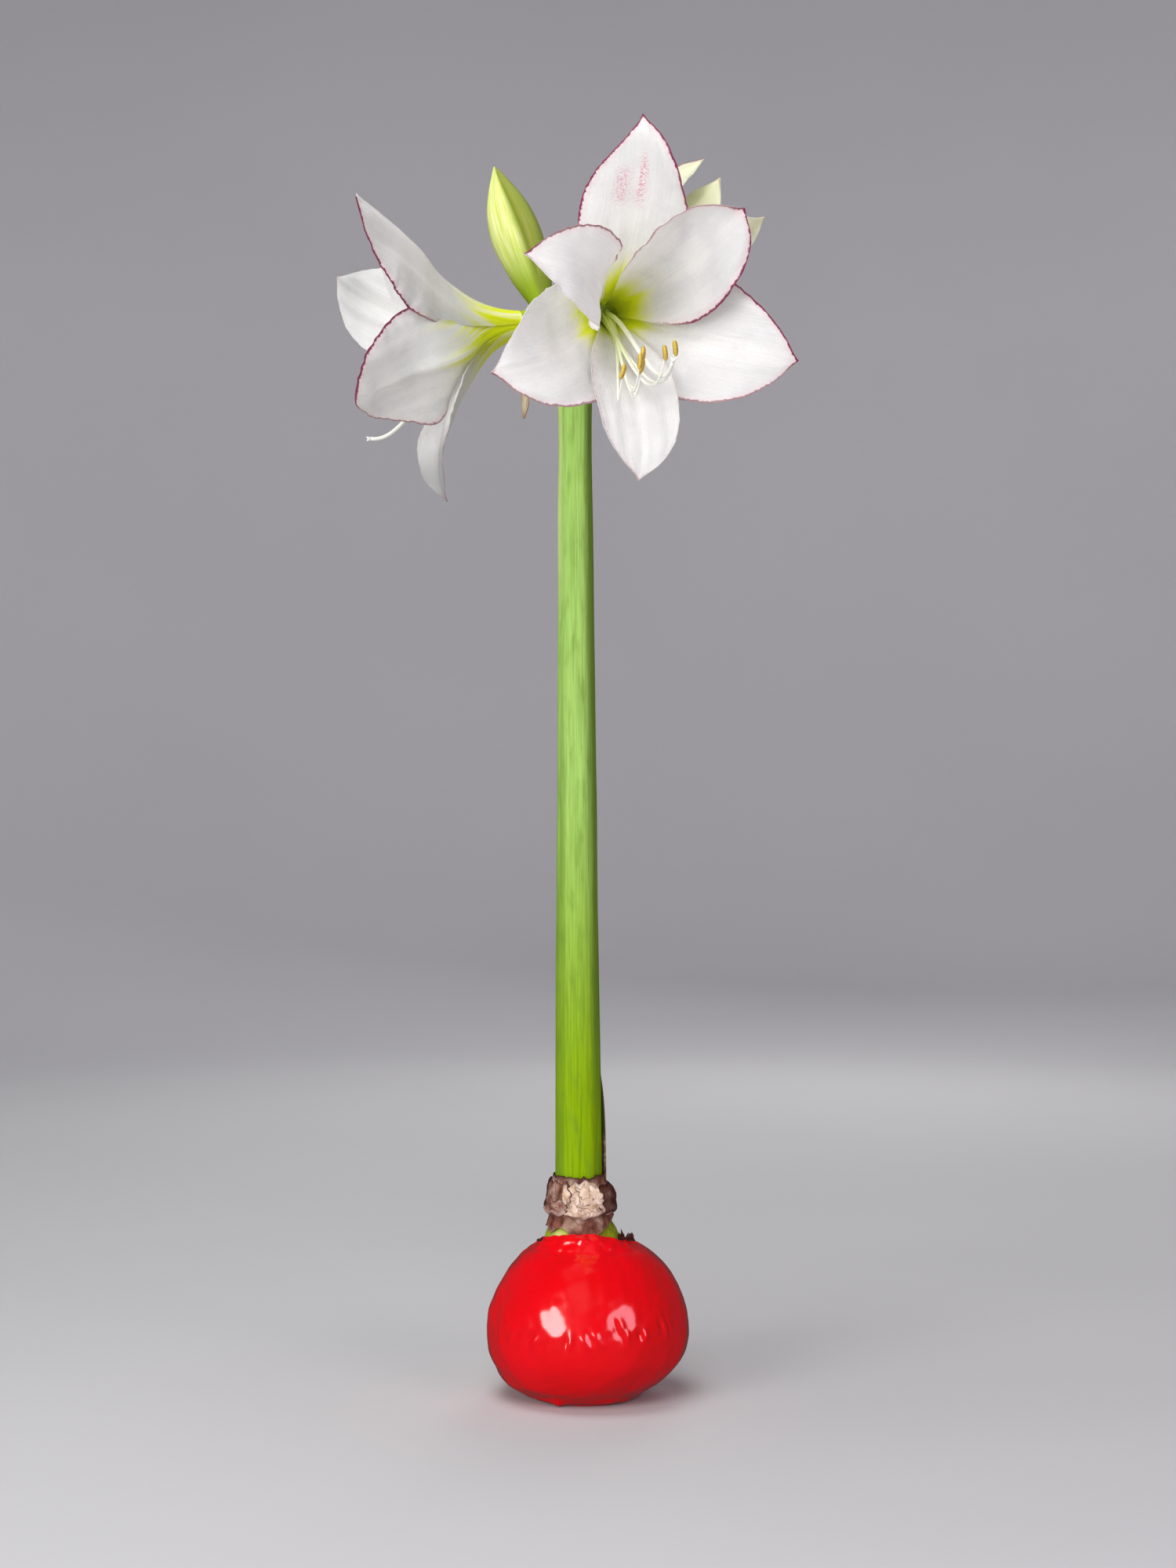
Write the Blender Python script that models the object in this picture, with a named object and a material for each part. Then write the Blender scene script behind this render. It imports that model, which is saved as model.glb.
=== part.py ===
"""Amaryllis bulb in a red wax coat, with its scape, a young leaf, three blooms and a bud.

Sizes below are in millimetres and degrees, and the meshes are made in metres with +Z up.
The origin is the middle of the wax coat's flat foot. The viewer of the photograph looks along +Y.
"""

from collections import namedtuple
from math import cos, exp, pi, radians, sin, tau

import bmesh
import bpy
import numpy as np

MM = 0.001
GAP = 0.3

# Wax coat: (height, outer radius, shift of the ring's middle along X), from the foot to the shoulder
WAX_RINGS = [(0, 24.5, -1.5), (1.2, 26.5, -1.5), (2.4, 28.5, -2.5), (7, 35.5, -3), (13, 41, -1.5), (20, 45, -0.6),
             (29, 46.2, 0), (38, 45.4, 0), (48, 42, 0.3), (57, 36.8, 0.2), (64, 30.6, 0)]
# Its collar and its rim, which also climb towards the front by the last size
WAX_COLLAR = (68.4, 24.8, -0.5, 1.2)
WAX_RIM = (70.3, 20.6, -2.2, 5.0)
WAX_RIM_ROUND = 0.6
WAX_RIM_WAVE = 0.3
WAX_THICKNESS = 2.5
WAX_RIM_THICKNESS = 1.4
WAX_FLOOR = 3.0
WAX_SIDES = 40
DRAW_IN = 0.2

# Bulb: (height, radius, shift along X) of its green shoulder and its neck, above the part in the coat
BULB_RINGS = [(66.5, 23.2, -1.2), (70, 18.5, -2.3), (74, 16.9, -2.9), (77, 15.5, -3.1), (80, 14.1, -3.1),
              (86, 13.5, -3.1), (92, 13.1, -3.1)]
BULB_SIDES = 28

# Scape: the flower stem, its foot in a hole in the neck and its head carrying the flower stalks
SCAPE_FOOT = (-4.2, 0.0, 74.0)
SCAPE_HEAD = (-6.1, 0.0, 475.0)
SCAPE_RADII = [(0, 10.5), (0.07, 10.5), (0.45, 9.1), (0.8, 7.9), (0.96, 7.9), (0.985, 8.8), (1, 9.2)]
SCAPE_SIDES = 18
SCAPE_RIDGES = 6
SCAPE_RIDGE_DEPTH = 0.18
SCAPE_CROWN = 0.8

# Young leaf: a strap curved round the back right of the scape
LEAF_FOOT = 92.3
LEAF_TIP = 149.0
LEAF_RADIUS = 12.2
LEAF_THICKNESS = 1.5
LEAF_AZIMUTH = (24, 37)
LEAF_HALF_SPAN = 30

# Dry tunic round the neck: a flared torn upper band over a darker lower one
UPPER_TUNIC = [(83.6, 17.2, -3.3), (86, 16.6, -3.3), (90, 15.9, -3.1), (95.5, 15.1, -3.1), (100, 13.9, -3.1)]
LOWER_TUNIC = [(76.9, 17.1, -3.1), (79, 16.1, -3.1), (82, 15.5, -3.1), (86, 15.1, -3.1)]
TUNIC_THICKNESS = 1.0
TUNIC_SIDES = 28
TUNIC_TEAR = 0.8
# The lower band is torn away at the right, where the green shoulder shows
LOWER_TEAR_RISE = 5.0
LOWER_TEAR_SPAN = 0.6
SCRAP_FOOT = (18.4, -5.0)
SCRAP_SIZE = (6.6, 5.6, 1.2)
SCRAP_LIFT = 2.6

# Tepals: blade sizes shared by all of them
TEPAL_THICKNESS = 0.7
TEPAL_ROWS = 11
TEPAL_COLUMNS = 7
TEPAL_RISE = 1.6
TEPAL_TIP = 0.992
TUBE_FLARE = 8
MARGIN_WAVE = 0.5
WAVES = 2.5

Whorl = namedtuple("Whorl", "radius claw")
OUTER = Whorl(radius=5.6, claw=10.2)
INNER = Whorl(radius=4.5, claw=8.0)

# One tepal. azimuth: its place round the tube. flare: angle from the tube's axis at a quarter, a half,
# three quarters and the whole of its length. sway: sideways bend at two thirds and at the tip.
# cup: half angle of its hollow at a quarter, at 0.6 and at the tip. twist: turn about its own midrib.
# lean: extra cup on one side. widest: place of its full width. fullness: roundness from there to the tip.
Tepal = namedtuple("Tepal", "name whorl azimuth length width flare sway cup twist lean widest fullness")

# One bloom: the base of its tube, its axis, where its stalk stands round the scape's head, its tepals,
# and the tips of its stamens and style, each as (right, up, out) in the bloom's own frame.
Bloom = namedtuple("Bloom", "name base axis seat tepals anthers style")

FRONT = Bloom(
    "front", base=(7.3, -48.0, 486.7), axis=(0.175, -0.979, -0.104), seat=-80,
    tepals=[
        Tepal("top", OUTER, 84, 108, 48, flare=(30, 50, 50, 105), sway=(5, 10), cup=(40, 20, 5),
              twist=-25, lean=-10, widest=0.55, fullness=1.1),
        Tepal("upper_left", INNER, 160, 117, 39, flare=(20, 5, 50, 95), sway=(-5, 20), cup=(35, 55, 10),
              twist=25, lean=-5, widest=0.75, fullness=1.0),
        Tepal("upper_right", INNER, 35, 103, 48, flare=(25, 30, 35, 110), sway=(5, 15), cup=(70, 60, 25),
              twist=-25, lean=40, widest=0.6, fullness=1.6),
        Tepal("lower_left", OUTER, 215, 102, 53, flare=(30, 35, 50, 100), sway=(-5, -25), cup=(40, 30, -15),
              twist=-10, lean=-5, widest=0.55, fullness=1.2),
        Tepal("lower_right", OUTER, -24, 107, 57, flare=(30, 40, 55, 110), sway=(5, 20), cup=(35, 30, 15),
              twist=10, lean=0, widest=0.55, fullness=1.2),
        Tepal("bottom", INNER, -88, 106, 36, flare=(30, 40, 60, 110), sway=(5, -10), cup=(45, 35, 15),
              twist=10, lean=0, widest=0.6, fullness=1.6),
    ],
    anthers=[(-7, -27, 82), (-1, -23, 88), (9, -19, 90), (13, -17, 91), (3, -19, 82), (6, -24, 84)],
    style=(11, -25, 96))

LEFT = Bloom(
    "left", base=(-30.8, -6.0, 490.3), axis=(-0.958, -0.236, -0.165), seat=-170,
    tepals=[
        Tepal("upper", OUTER, 43, 122, 57, flare=(35, 60, 45, 80), sway=(-5, -20), cup=(20, 40, 10),
              twist=-5, lean=-10, widest=0.55, fullness=1.0),
        Tepal("upper_far", INNER, 117, 69, 28, flare=(20, 25, 40, 80), sway=(0, -10), cup=(35, 15, 5),
              twist=0, lean=0, widest=0.65, fullness=1.5),
        Tepal("far", OUTER, 162, 105, 44, flare=(40, 45, 50, 85), sway=(-20, -25), cup=(45, 10, -5),
              twist=20, lean=15, widest=0.5, fullness=1.3),
        Tepal("near", INNER, -29, 124, 54, flare=(45, 10, 45, 90), sway=(-5, 20), cup=(95, -25, -5),
              twist=-10, lean=40, widest=0.6, fullness=0.8),
        Tepal("lower", OUTER, -78, 98, 47, flare=(40, 55, 70, 105), sway=(5, 0), cup=(25, 25, 15),
              twist=15, lean=-35, widest=0.55, fullness=1.4),
        Tepal("lower_far", INNER, -135, 76, 38, flare=(25, 25, 30, 50), sway=(-10, -5), cup=(40, 15, -5),
              twist=0, lean=5, widest=0.65, fullness=1.5),
    ],
    anthers=[(0, -12, 58), (5, -10, 60), (10, -8, 58), (1, -4, 62), (6, -2, 60), (11, -1, 58)],
    style=(4, -43, 78))

BACK = Bloom(
    "back", base=(7.0, 24.0, 513.5), axis=(0.672, 0.471, 0.572), seat=10,
    tepals=[
        Tepal("upper", OUTER, 103, 81, 38, flare=(20, 25, 5, 10), sway=(10, 10), cup=(45, 0, -25),
              twist=-5, lean=-10, widest=0.6, fullness=1.4),
        Tepal("near", INNER, 153, 79, 26, flare=(15, 10, 10, 35), sway=(0, -15), cup=(45, 35, 10),
              twist=-25, lean=-20, widest=0.6, fullness=1.4),
        Tepal("right", OUTER, 216, 86, 38, flare=(25, 20, 10, 20), sway=(-5, -20), cup=(45, 10, -25),
              twist=10, lean=5, widest=0.6, fullness=1.5),
        Tepal("lower", INNER, 278, 91, 36, flare=(15, 10, 15, 25), sway=(0, 0), cup=(45, 20, -5),
              twist=0, lean=0, widest=0.6, fullness=1.5),
        Tepal("far", OUTER, 338, 94, 40, flare=(25, 20, 15, 25), sway=(0, 0), cup=(45, 20, -5),
              twist=0, lean=0, widest=0.6, fullness=1.5),
        Tepal("left", INNER, 36, 90, 33, flare=(15, 10, 15, 25), sway=(0, 0), cup=(45, 20, -5),
              twist=0, lean=0, widest=0.6, fullness=1.5),
    ],
    anthers=[(5, 0, 58), (2, 5, 60), (-3, 5, 57), (-5, 0, 60), (-3, -5, 57), (2, -5, 60)],
    style=(0, 0, 66))

BLOOMS = [FRONT, LEFT, BACK]

# Stamens and style
BOSS_RADIUS = 3.3
BOSS_TOP_RADIUS = 2.8
BOSS_HEIGHT = 2.4
BOSS_SIDES = 10
STAMEN_CIRCLE = 2.1
STAMEN_ROOT = 0.8
FILAMENT_RADIUS = 0.6
STYLE_RADIUS = 0.75
STIGMA_RADIUS = 1.5
ANTHER_LENGTH = 7.0
ANTHER_RADIUS = 1.3
# An anther's (place along it, share of its full radius)
ANTHER_SHAPE = [(-0.5, 0.45), (-0.32, 0.9), (0, 1), (0.32, 0.9), (0.5, 0.45)]
ANTHER_SIDES = 6
FILAMENT_SIDES = 5
FILAMENT_ROWS = 8
SAG = 9.0

# Flower stalks, each swelling into an ovary under its bloom: (place along the ovary, radius)
STALK_RADIUS = 3.3
OVARY_FOOT = 3.9
OVARY_RADII = [(0.3, 5.5), (0.6, 5.9), (0.85, 5.8), (1, 5.2)]
OVARY_LENGTH = 15.0
STALK_SIDES = 12
STALK_BENDS = 6
STALK_SEAT = 5.1
STALK_LIFT = 2.4
STALK_RISE = 9.0

# Bud: its middle line from the ovary to the tip, the places of those points, and (place along it, radius)
BUD_LINE = [(-21.3, 22.0, 503.6), (-27.6, 28.0, 522.0), (-35.4, 36.0, 544.4), (-44.6, 45.0, 574.1)]
BUD_PLACES = (0, 0.27, 0.6, 1)
BUD_ROWS = 12
BUD_RADII = [(0, 5.0), (0.08, 6.6), (0.22, 9.8), (0.4, 12.0), (0.55, 12.5), (0.7, 10.9), (0.84, 7.0),
             (0.94, 3.2), (1, 0.7)]
BUD_SEAT = 100
BUD_SIDES = 18
BUD_LOBES = 0.05

# Withered bracts that hang from the head of the scape: azimuth round the scape, and length
BRACTS = [("left", 205, 34), ("back", 20, 30)]
BRACT_WIDTH = 15.0
BRACT_THICKNESS = 0.8
BRACT_DROP = 4.0
BRACT_REACH = 9.8
# Angle of a bract's middle line from straight up, at its foot, at three tenths of it and at its tip
BRACT_TILT = (60, 140, 175)
BRACT_CURL = 0.35

# name: (colour, roughness)
FINISHES = {
    "wax": ((0.56, 0.006, 0.012), 0.12),
    "bulb_green": ((0.42, 0.56, 0.12), 0.45),
    "tunic_dark": ((0.10, 0.035, 0.03), 0.7),
    "tunic_pale": ((0.42, 0.22, 0.14), 0.65),
    "stem_green": ((0.24, 0.42, 0.06), 0.4),
    "leaf_green": ((0.05, 0.16, 0.03), 0.4),
    "tepal_white": ((0.86, 0.84, 0.80), 0.5),
    "tepal_cream": ((0.80, 0.80, 0.58), 0.5),
    "stamen": ((0.85, 0.80, 0.62), 0.5),
    "bud_green": ((0.62, 0.70, 0.16), 0.45),
    "bract": ((0.52, 0.42, 0.30), 0.7),
}


def clear_scene():
    for thing in list(bpy.data.objects):
        bpy.data.objects.remove(thing, do_unlink=True)


def finish(name):
    """The Principled material of this name."""
    material = bpy.data.materials.get(name)
    if material is None:
        colour, roughness = FINISHES[name]
        material = bpy.data.materials.new(name)
        material.use_nodes = True
        shader = material.node_tree.nodes["Principled BSDF"]
        shader.inputs["Base Color"].default_value = (*colour, 1.0)
        shader.inputs["Roughness"].default_value = roughness
        shader.inputs["Metallic"].default_value = 0.0
    return material


def add_solid(name, points, faces, finish_name):
    """A closed solid from points in millimetres, with its faces turned outwards."""
    mesh = bpy.data.meshes.new(name)
    mesh.from_pydata([tuple(np.asarray(p) * MM) for p in points], [], faces)
    shape = bmesh.new()
    shape.from_mesh(mesh)
    bmesh.ops.recalc_face_normals(shape, faces=shape.faces)
    if shape.calc_volume(signed=True) < 0:
        bmesh.ops.reverse_faces(shape, faces=shape.faces)
    shape.to_mesh(mesh)
    shape.free()
    mesh.shade_smooth()
    solid = bpy.data.objects.new(name, mesh)
    bpy.context.scene.collection.objects.link(solid)
    solid.data.materials.append(finish(finish_name))
    return solid


def stacked(rings):
    """Points and faces of a solid whose skin runs from ring to ring, closed by flat ends."""
    count = len(rings[0])
    points = [p for ring in rings for p in ring]
    faces = []
    for row in range(len(rings) - 1):
        low = row * count
        high = low + count
        for k in range(count):
            nxt = (k + 1) % count
            faces.append((low + k, low + nxt, high + nxt, high + k))
    faces.append(tuple(reversed(range(count))))
    faces.append(tuple(range(len(points) - count, len(points))))
    return points, faces


def ragged(turn):
    """Uneven height of a torn or dripped rim, for a wave of 1 mm."""
    return sin(3 * turn + 0.8) + 0.7 * sin(7 * turn + 2.1) + 0.5 * sin(11 * turn)


def ring(height, radius, shift, sides, wave=0.0, climb=0.0):
    """One ring of points. wave roughens its height, and climb lifts its front and draws it in a little."""
    points = []
    for k in range(sides):
        turn = tau * k / sides
        lift = climb * max(0.0, -sin(turn))
        reach = radius - DRAW_IN * lift
        points.append((shift + reach * cos(turn), reach * sin(turn), height + lift + wave * ragged(turn)))
    return points


def curve_value(places, values, s):
    """Smooth curve through (places, values), read at s."""
    places = np.asarray(places, float)
    values = np.asarray(values, float)
    s = np.clip(np.asarray(s, float), places[0], places[-1])
    slope = np.diff(values) / np.diff(places)
    steer = np.concatenate([[slope[0]], (slope[:-1] + slope[1:]) / 2, [slope[-1]]])
    i = np.clip(np.searchsorted(places, s, side="right") - 1, 0, len(places) - 2)
    h = places[i + 1] - places[i]
    t = (s - places[i]) / h
    return ((2 * t**3 - 3 * t**2 + 1) * values[i] + (t**3 - 2 * t**2 + t) * h * steer[i]
            + (3 * t**2 - 2 * t**3) * values[i + 1] + (t**3 - t**2) * h * steer[i + 1])


def unit(vector):
    vector = np.asarray(vector, float)
    return vector / np.linalg.norm(vector)


def bloom_frame(axis):
    """Rows right, up and out of a bloom whose tube points along axis."""
    out = unit(axis)
    right = unit(np.cross((0.0, 0.0, 1.0), out))
    return np.stack([right, np.cross(out, right), out])


def tube(line, radii, sides, lobes=0.0):
    """Rings round a line of points, each with its own radius."""
    line = np.asarray(line, float)
    heading = np.gradient(line, axis=0)
    side = unit(np.cross(heading[0], (0.3, -1.0, 0.2)))
    rings = []
    for place, way, radius in zip(line, heading, radii):
        way = unit(way)
        side = unit(side - way * np.dot(side, way))
        across = np.cross(way, side)
        points = []
        for k in range(sides):
            turn = tau * k / sides
            r = radius * (1 + lobes * cos(3 * turn))
            points.append(place + r * (cos(turn) * side + sin(turn) * across))
        rings.append(points)
    return rings


def bezier(points, count):
    """Points along the cubic curve with these four handles."""
    a, b, c, d = (np.asarray(p, float) for p in points)
    line = []
    for s in np.linspace(0, 1, count):
        line.append((1 - s)**3 * a + 3 * (1 - s)**2 * s * b + 3 * (1 - s) * s**2 * c + s**3 * d)
    return line


def blade(middle, normals, thickness):
    """A closed thin solid about a grid of points, its two faces split alike into triangles."""
    rows, columns = middle.shape[:2]
    front = (middle + normals * thickness / 2).reshape(-1, 3)
    back = (middle - normals * thickness / 2).reshape(-1, 3)
    points = np.concatenate([front, back])
    shift = rows * columns
    faces = []
    for i in range(rows - 1):
        for j in range(columns - 1):
            a = i * columns + j
            b, c, d = a + 1, a + columns + 1, a + columns
            faces += [(a, b, c), (a, c, d)]
            faces += [(a + shift, c + shift, b + shift), (a + shift, d + shift, c + shift)]
    edge = [j for j in range(columns)]
    edge += [i * columns + columns - 1 for i in range(1, rows)]
    edge += [(rows - 1) * columns + j for j in range(columns - 2, -1, -1)]
    edge += [i * columns for i in range(rows - 2, 0, -1)]
    for k, here in enumerate(edge):
        there = edge[(k + 1) % len(edge)]
        faces.append((here, here + shift, there + shift, there))
    return points, faces


def tepal_grid(tepal, s, u):
    """Middle surface and normals of a tepal in its bloom's frame, s along it and u across from -1 to 1."""
    fine = np.linspace(0, 1, 121)
    flare = np.radians(curve_value((0, 0.25, 0.5, 0.75, 1), (TUBE_FLARE, *tepal.flare), fine))
    sway = np.radians(curve_value((0, 0.3, 0.65, 1), (0, 0, *tepal.sway), fine))
    place = radians(tepal.azimuth)
    outward = np.array([cos(place), sin(place), 0])
    around = np.array([-sin(place), cos(place), 0])
    along = np.array([0, 0, 1.0])
    heading = ((np.cos(flare) * np.cos(sway))[:, None] * along + (np.sin(flare) * np.cos(sway))[:, None] * outward
               + np.sin(sway)[:, None] * around)
    steps = (heading[1:] + heading[:-1]) / 2 * tepal.length / (len(fine) - 1)
    midrib = np.concatenate([np.zeros((1, 3)), np.cumsum(steps, axis=0)]) + tepal.whorl.radius * outward
    rib = np.stack([np.interp(s, fine, midrib[:, k]) for k in range(3)], -1)
    way = np.stack([np.interp(s, fine, heading[:, k]) for k in range(3)], -1)
    way /= np.linalg.norm(way, axis=1)[:, None]
    across = around - (way @ around)[:, None] * way
    across /= np.linalg.norm(across, axis=1)[:, None]
    inward = np.cross(way, across)
    twist = np.radians(curve_value((0, 0.25, 1), (0, 0, tepal.twist), s))[:, None]
    across, inward = (np.cos(twist) * across + np.sin(twist) * inward,
                      np.cos(twist) * inward - np.sin(twist) * across)
    claw = tepal.whorl.claw / tepal.width
    swell = claw + (1 - claw) * np.sin(pi / 2 * np.clip(s / tepal.widest, 0, 1) ** TEPAL_RISE)
    past = np.clip((s - tepal.widest) / (1 - tepal.widest), 0, 1)
    taper = np.cos(pi / 2 * past ** tepal.fullness)
    half = tepal.width / 2 * np.where(s < tepal.widest, swell, taper)
    claw_cup = np.degrees(tepal.whorl.claw / 2 / tepal.whorl.radius)
    cup = np.radians(curve_value((0, 0.25, 0.6, 1), (claw_cup, *tepal.cup), s))
    lean = np.radians(curve_value((0, 0.25, 0.6, 1), (0, 0, tepal.lean, tepal.lean), s))
    bow = cup[:, None] + lean[:, None] * u[None, :]
    bow = np.where(np.abs(bow) < 1e-4, 1e-4, bow)
    sideways = half[:, None] * np.sin(bow * u) / bow
    inwards = half[:, None] * (1 - np.cos(bow * u)) / bow
    grown = np.clip((s - 0.3) / 0.3, 0, 1) * np.clip((1 - s) / 0.15, 0, 1)
    wave = MARGIN_WAVE * grown[:, None] * np.abs(u)**3 * np.sin(tau * WAVES * s[:, None] + 2 * u)
    grid = rib[:, None] + sideways[..., None] * across[:, None] + (inwards + wave)[..., None] * inward[:, None]
    normals = -np.sin(bow * u)[..., None] * across[:, None] + np.cos(bow * u)[..., None] * inward[:, None]
    return grid, normals


def join(name, base, pieces, finish_name):
    """Fuses the pieces to the base in one Boolean union, and removes the pieces.

    Every piece is a closed mesh, so the MANIFOLD solver suits and is the quick one.
    """
    group = bpy.data.collections.new(name + "_pieces")
    for piece in pieces:
        bpy.context.scene.collection.objects.unlink(piece)
        group.objects.link(piece)
    bpy.context.scene.collection.children.link(group)
    union = base.modifiers.new("fuse", "BOOLEAN")
    union.operation = "UNION"
    union.operand_type = "COLLECTION"
    union.collection = group
    union.solver = "MANIFOLD"
    graph = bpy.context.evaluated_depsgraph_get()
    fused = bpy.data.meshes.new_from_object(base.evaluated_get(graph))
    base.modifiers.clear()
    base.data = fused
    base.name = name
    base.data.materials.clear()
    base.data.materials.append(finish(finish_name))
    for piece in pieces:
        bpy.data.objects.remove(piece, do_unlink=True)
    bpy.data.collections.remove(group)
    return base


def make_wax_coat():
    outside = [ring(z, r, shift, WAX_SIDES) for z, r, shift in WAX_RINGS]
    height, radius, shift, climb = WAX_COLLAR
    outside.append(ring(height, radius, shift, WAX_SIDES, 0, climb))
    height, radius, shift, climb = WAX_RIM
    for inset, rise in ((0, 0), (WAX_RIM_THICKNESS / 2, WAX_RIM_ROUND), (WAX_RIM_THICKNESS, 0)):
        outside.append(ring(height + rise, radius - inset, shift, WAX_SIDES, WAX_RIM_WAVE, climb))
    inside = [ring(z, r - WAX_THICKNESS, shift, WAX_SIDES) for z, r, shift in reversed(WAX_RINGS[3:])]
    inside.append(ring(WAX_FLOOR, WAX_RINGS[2][1] - WAX_THICKNESS, WAX_RINGS[2][2], WAX_SIDES))
    add_solid("wax_coat", *stacked(outside + inside), "wax")


def make_bulb():
    """The bulb fills the coat, and its neck has a blind hole for the scape."""
    clear = WAX_THICKNESS + 2 * GAP + 0.1
    body = [ring(WAX_FLOOR + GAP, WAX_RINGS[2][1] - clear, WAX_RINGS[2][2], BULB_SIDES)]
    body += [ring(z, r - clear, shift, BULB_SIDES) for z, r, shift in WAX_RINGS[3:]]
    body += [ring(z, r, shift, BULB_SIDES) for z, r, shift in BULB_RINGS]
    hole = SCAPE_RADII[0][1] + 2 * GAP
    rim = BULB_RINGS[-1][0]
    body.append(ring(rim, hole, SCAPE_FOOT[0], BULB_SIDES))
    body.append(ring(SCAPE_FOOT[2] - GAP, hole, SCAPE_FOOT[0], BULB_SIDES))
    add_solid("bulb", *stacked(body), "bulb_green")


def make_tunic(name, bands, finish_name, tears, rise=0.0):
    """A torn papery ring round the neck, its lower edge torn upwards by rise at the right."""
    outside = []
    inside = []
    for k, (height, radius, shift) in enumerate(bands):
        share = 1 - k / (len(bands) - 1)
        for skin, reach in ((outside, radius), (inside, radius - TUNIC_THICKNESS)):
            points = ring(height, reach, shift, TUNIC_SIDES, tears[k])
            lifted = []
            for n, (x, y, z) in enumerate(points):
                turn = (tau * n / TUNIC_SIDES + pi) % tau - pi
                lifted.append((x, y, z + rise * share * exp(-(turn / LOWER_TEAR_SPAN)**2)))
            skin.append(lifted)
    rings = outside + inside[::-1]
    count = TUNIC_SIDES
    points = [p for one in rings for p in one]
    faces = []
    for row in range(len(rings)):
        low = row * count
        high = (row + 1) % len(rings) * count
        for k in range(count):
            nxt = (k + 1) % count
            faces.append((low + k, low + nxt, high + nxt, high + k))
    add_solid(name, points, faces, finish_name)


def make_scrap():
    """A spiky scrap of dry tunic that stands on the rim at the right."""
    x, y = SCRAP_FOOT
    wide, high, thick = SCRAP_SIZE
    z = WAX_RIM[0] + SCRAP_LIFT
    outline = [(-0.5, 0), (0.5, 0), (0.62, 0.35), (0.35, 0.4), (0.3, 0.75), (0.08, 0.45), (-0.1, 1), (-0.32, 0.5)]
    rings = []
    for side in (-0.5, 0.5):
        rings.append([(x + across * wide, y + side * thick, z + up * high) for across, up in outline])
    add_solid("tunic_scrap", *stacked(rings), "tunic_dark")


def make_scape():
    foot = np.array(SCAPE_FOOT)
    head = np.array(SCAPE_HEAD)
    rings = []
    for share, radius in SCAPE_RADII:
        middle = foot + share * (head - foot)
        points = []
        for k in range(SCAPE_SIDES):
            turn = tau * k / SCAPE_SIDES
            r = radius + SCAPE_RIDGE_DEPTH * cos(SCAPE_RIDGES * turn)
            points.append(middle + np.array([r * cos(turn), r * sin(turn), 0]))
        rings.append(points)
    crown = np.array([0, 0, SCAPE_CROWN])
    rings.append([head + crown + (p - head) * 0.97 for p in rings[-1]])
    add_solid("scape", *stacked(rings), "stem_green")


def make_young_leaf():
    s = np.linspace(0, 1, 8)
    u = np.linspace(-1, 1, 5)
    height = LEAF_FOOT + (LEAF_TIP - LEAF_FOOT) * s
    azimuth = np.radians(LEAF_AZIMUTH[0] + (LEAF_AZIMUTH[1] - LEAF_AZIMUTH[0]) * s**2)
    span = radians(LEAF_HALF_SPAN) * (1 - 0.97 * s**2.2)
    turn = azimuth[:, None] + span[:, None] * u[None, :]
    lean = (SCAPE_HEAD[0] - SCAPE_FOOT[0]) / (SCAPE_HEAD[2] - SCAPE_FOOT[2])
    middle = SCAPE_FOOT[0] + lean * (height - SCAPE_FOOT[2])
    normals = np.stack([np.cos(turn), np.sin(turn), np.zeros_like(turn)], -1)
    grid = normals * LEAF_RADIUS
    grid[..., 0] += middle[:, None]
    grid[..., 2] = height[:, None]
    add_solid("young_leaf", *blade(grid, normals, LEAF_THICKNESS), "leaf_green")


def stalk_line(base, axis, seat):
    """Middle line of a flower stalk: straight up off the scape's head, then over to the base of the tube."""
    axis = unit(axis)
    turn = radians(seat)
    foot = np.array(SCAPE_HEAD) + (STALK_SEAT * cos(turn), STALK_SEAT * sin(turn), SCAPE_CROWN + GAP)
    start = foot + (0, 0, STALK_LIFT)
    end = np.asarray(base, float) - axis * GAP
    low = end - axis * OVARY_LENGTH
    rise = min(STALK_RISE, 0.5 * np.linalg.norm(low - start))
    line = [foot] + bezier([start, start + (0, 0, rise), low - axis * 0.6 * rise, low], STALK_BENDS)
    line += [low + axis * OVARY_LENGTH * share for share, radius in OVARY_RADII]
    return line


def make_stalk(name, base, axis, seat):
    radii = [STALK_RADIUS] * STALK_BENDS + [OVARY_FOOT] + [radius for share, radius in OVARY_RADII]
    add_solid(name, *stacked(tube(stalk_line(base, axis, seat), radii, STALK_SIDES)), "stem_green")


def make_tepals(bloom, finish_name):
    s = np.linspace(0, 1, TEPAL_ROWS)
    s[-1] = TEPAL_TIP
    u = np.linspace(-1, 1, TEPAL_COLUMNS)
    frame = bloom_frame(bloom.axis)
    base = np.array(bloom.base)
    for tepal in bloom.tepals:
        grid, normals = tepal_grid(tepal, s, u)
        solid = blade(grid @ frame + base, normals @ frame, TEPAL_THICKNESS)
        add_solid(f"{bloom.name}_tepal_{tepal.name}", *solid, finish_name)


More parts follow.
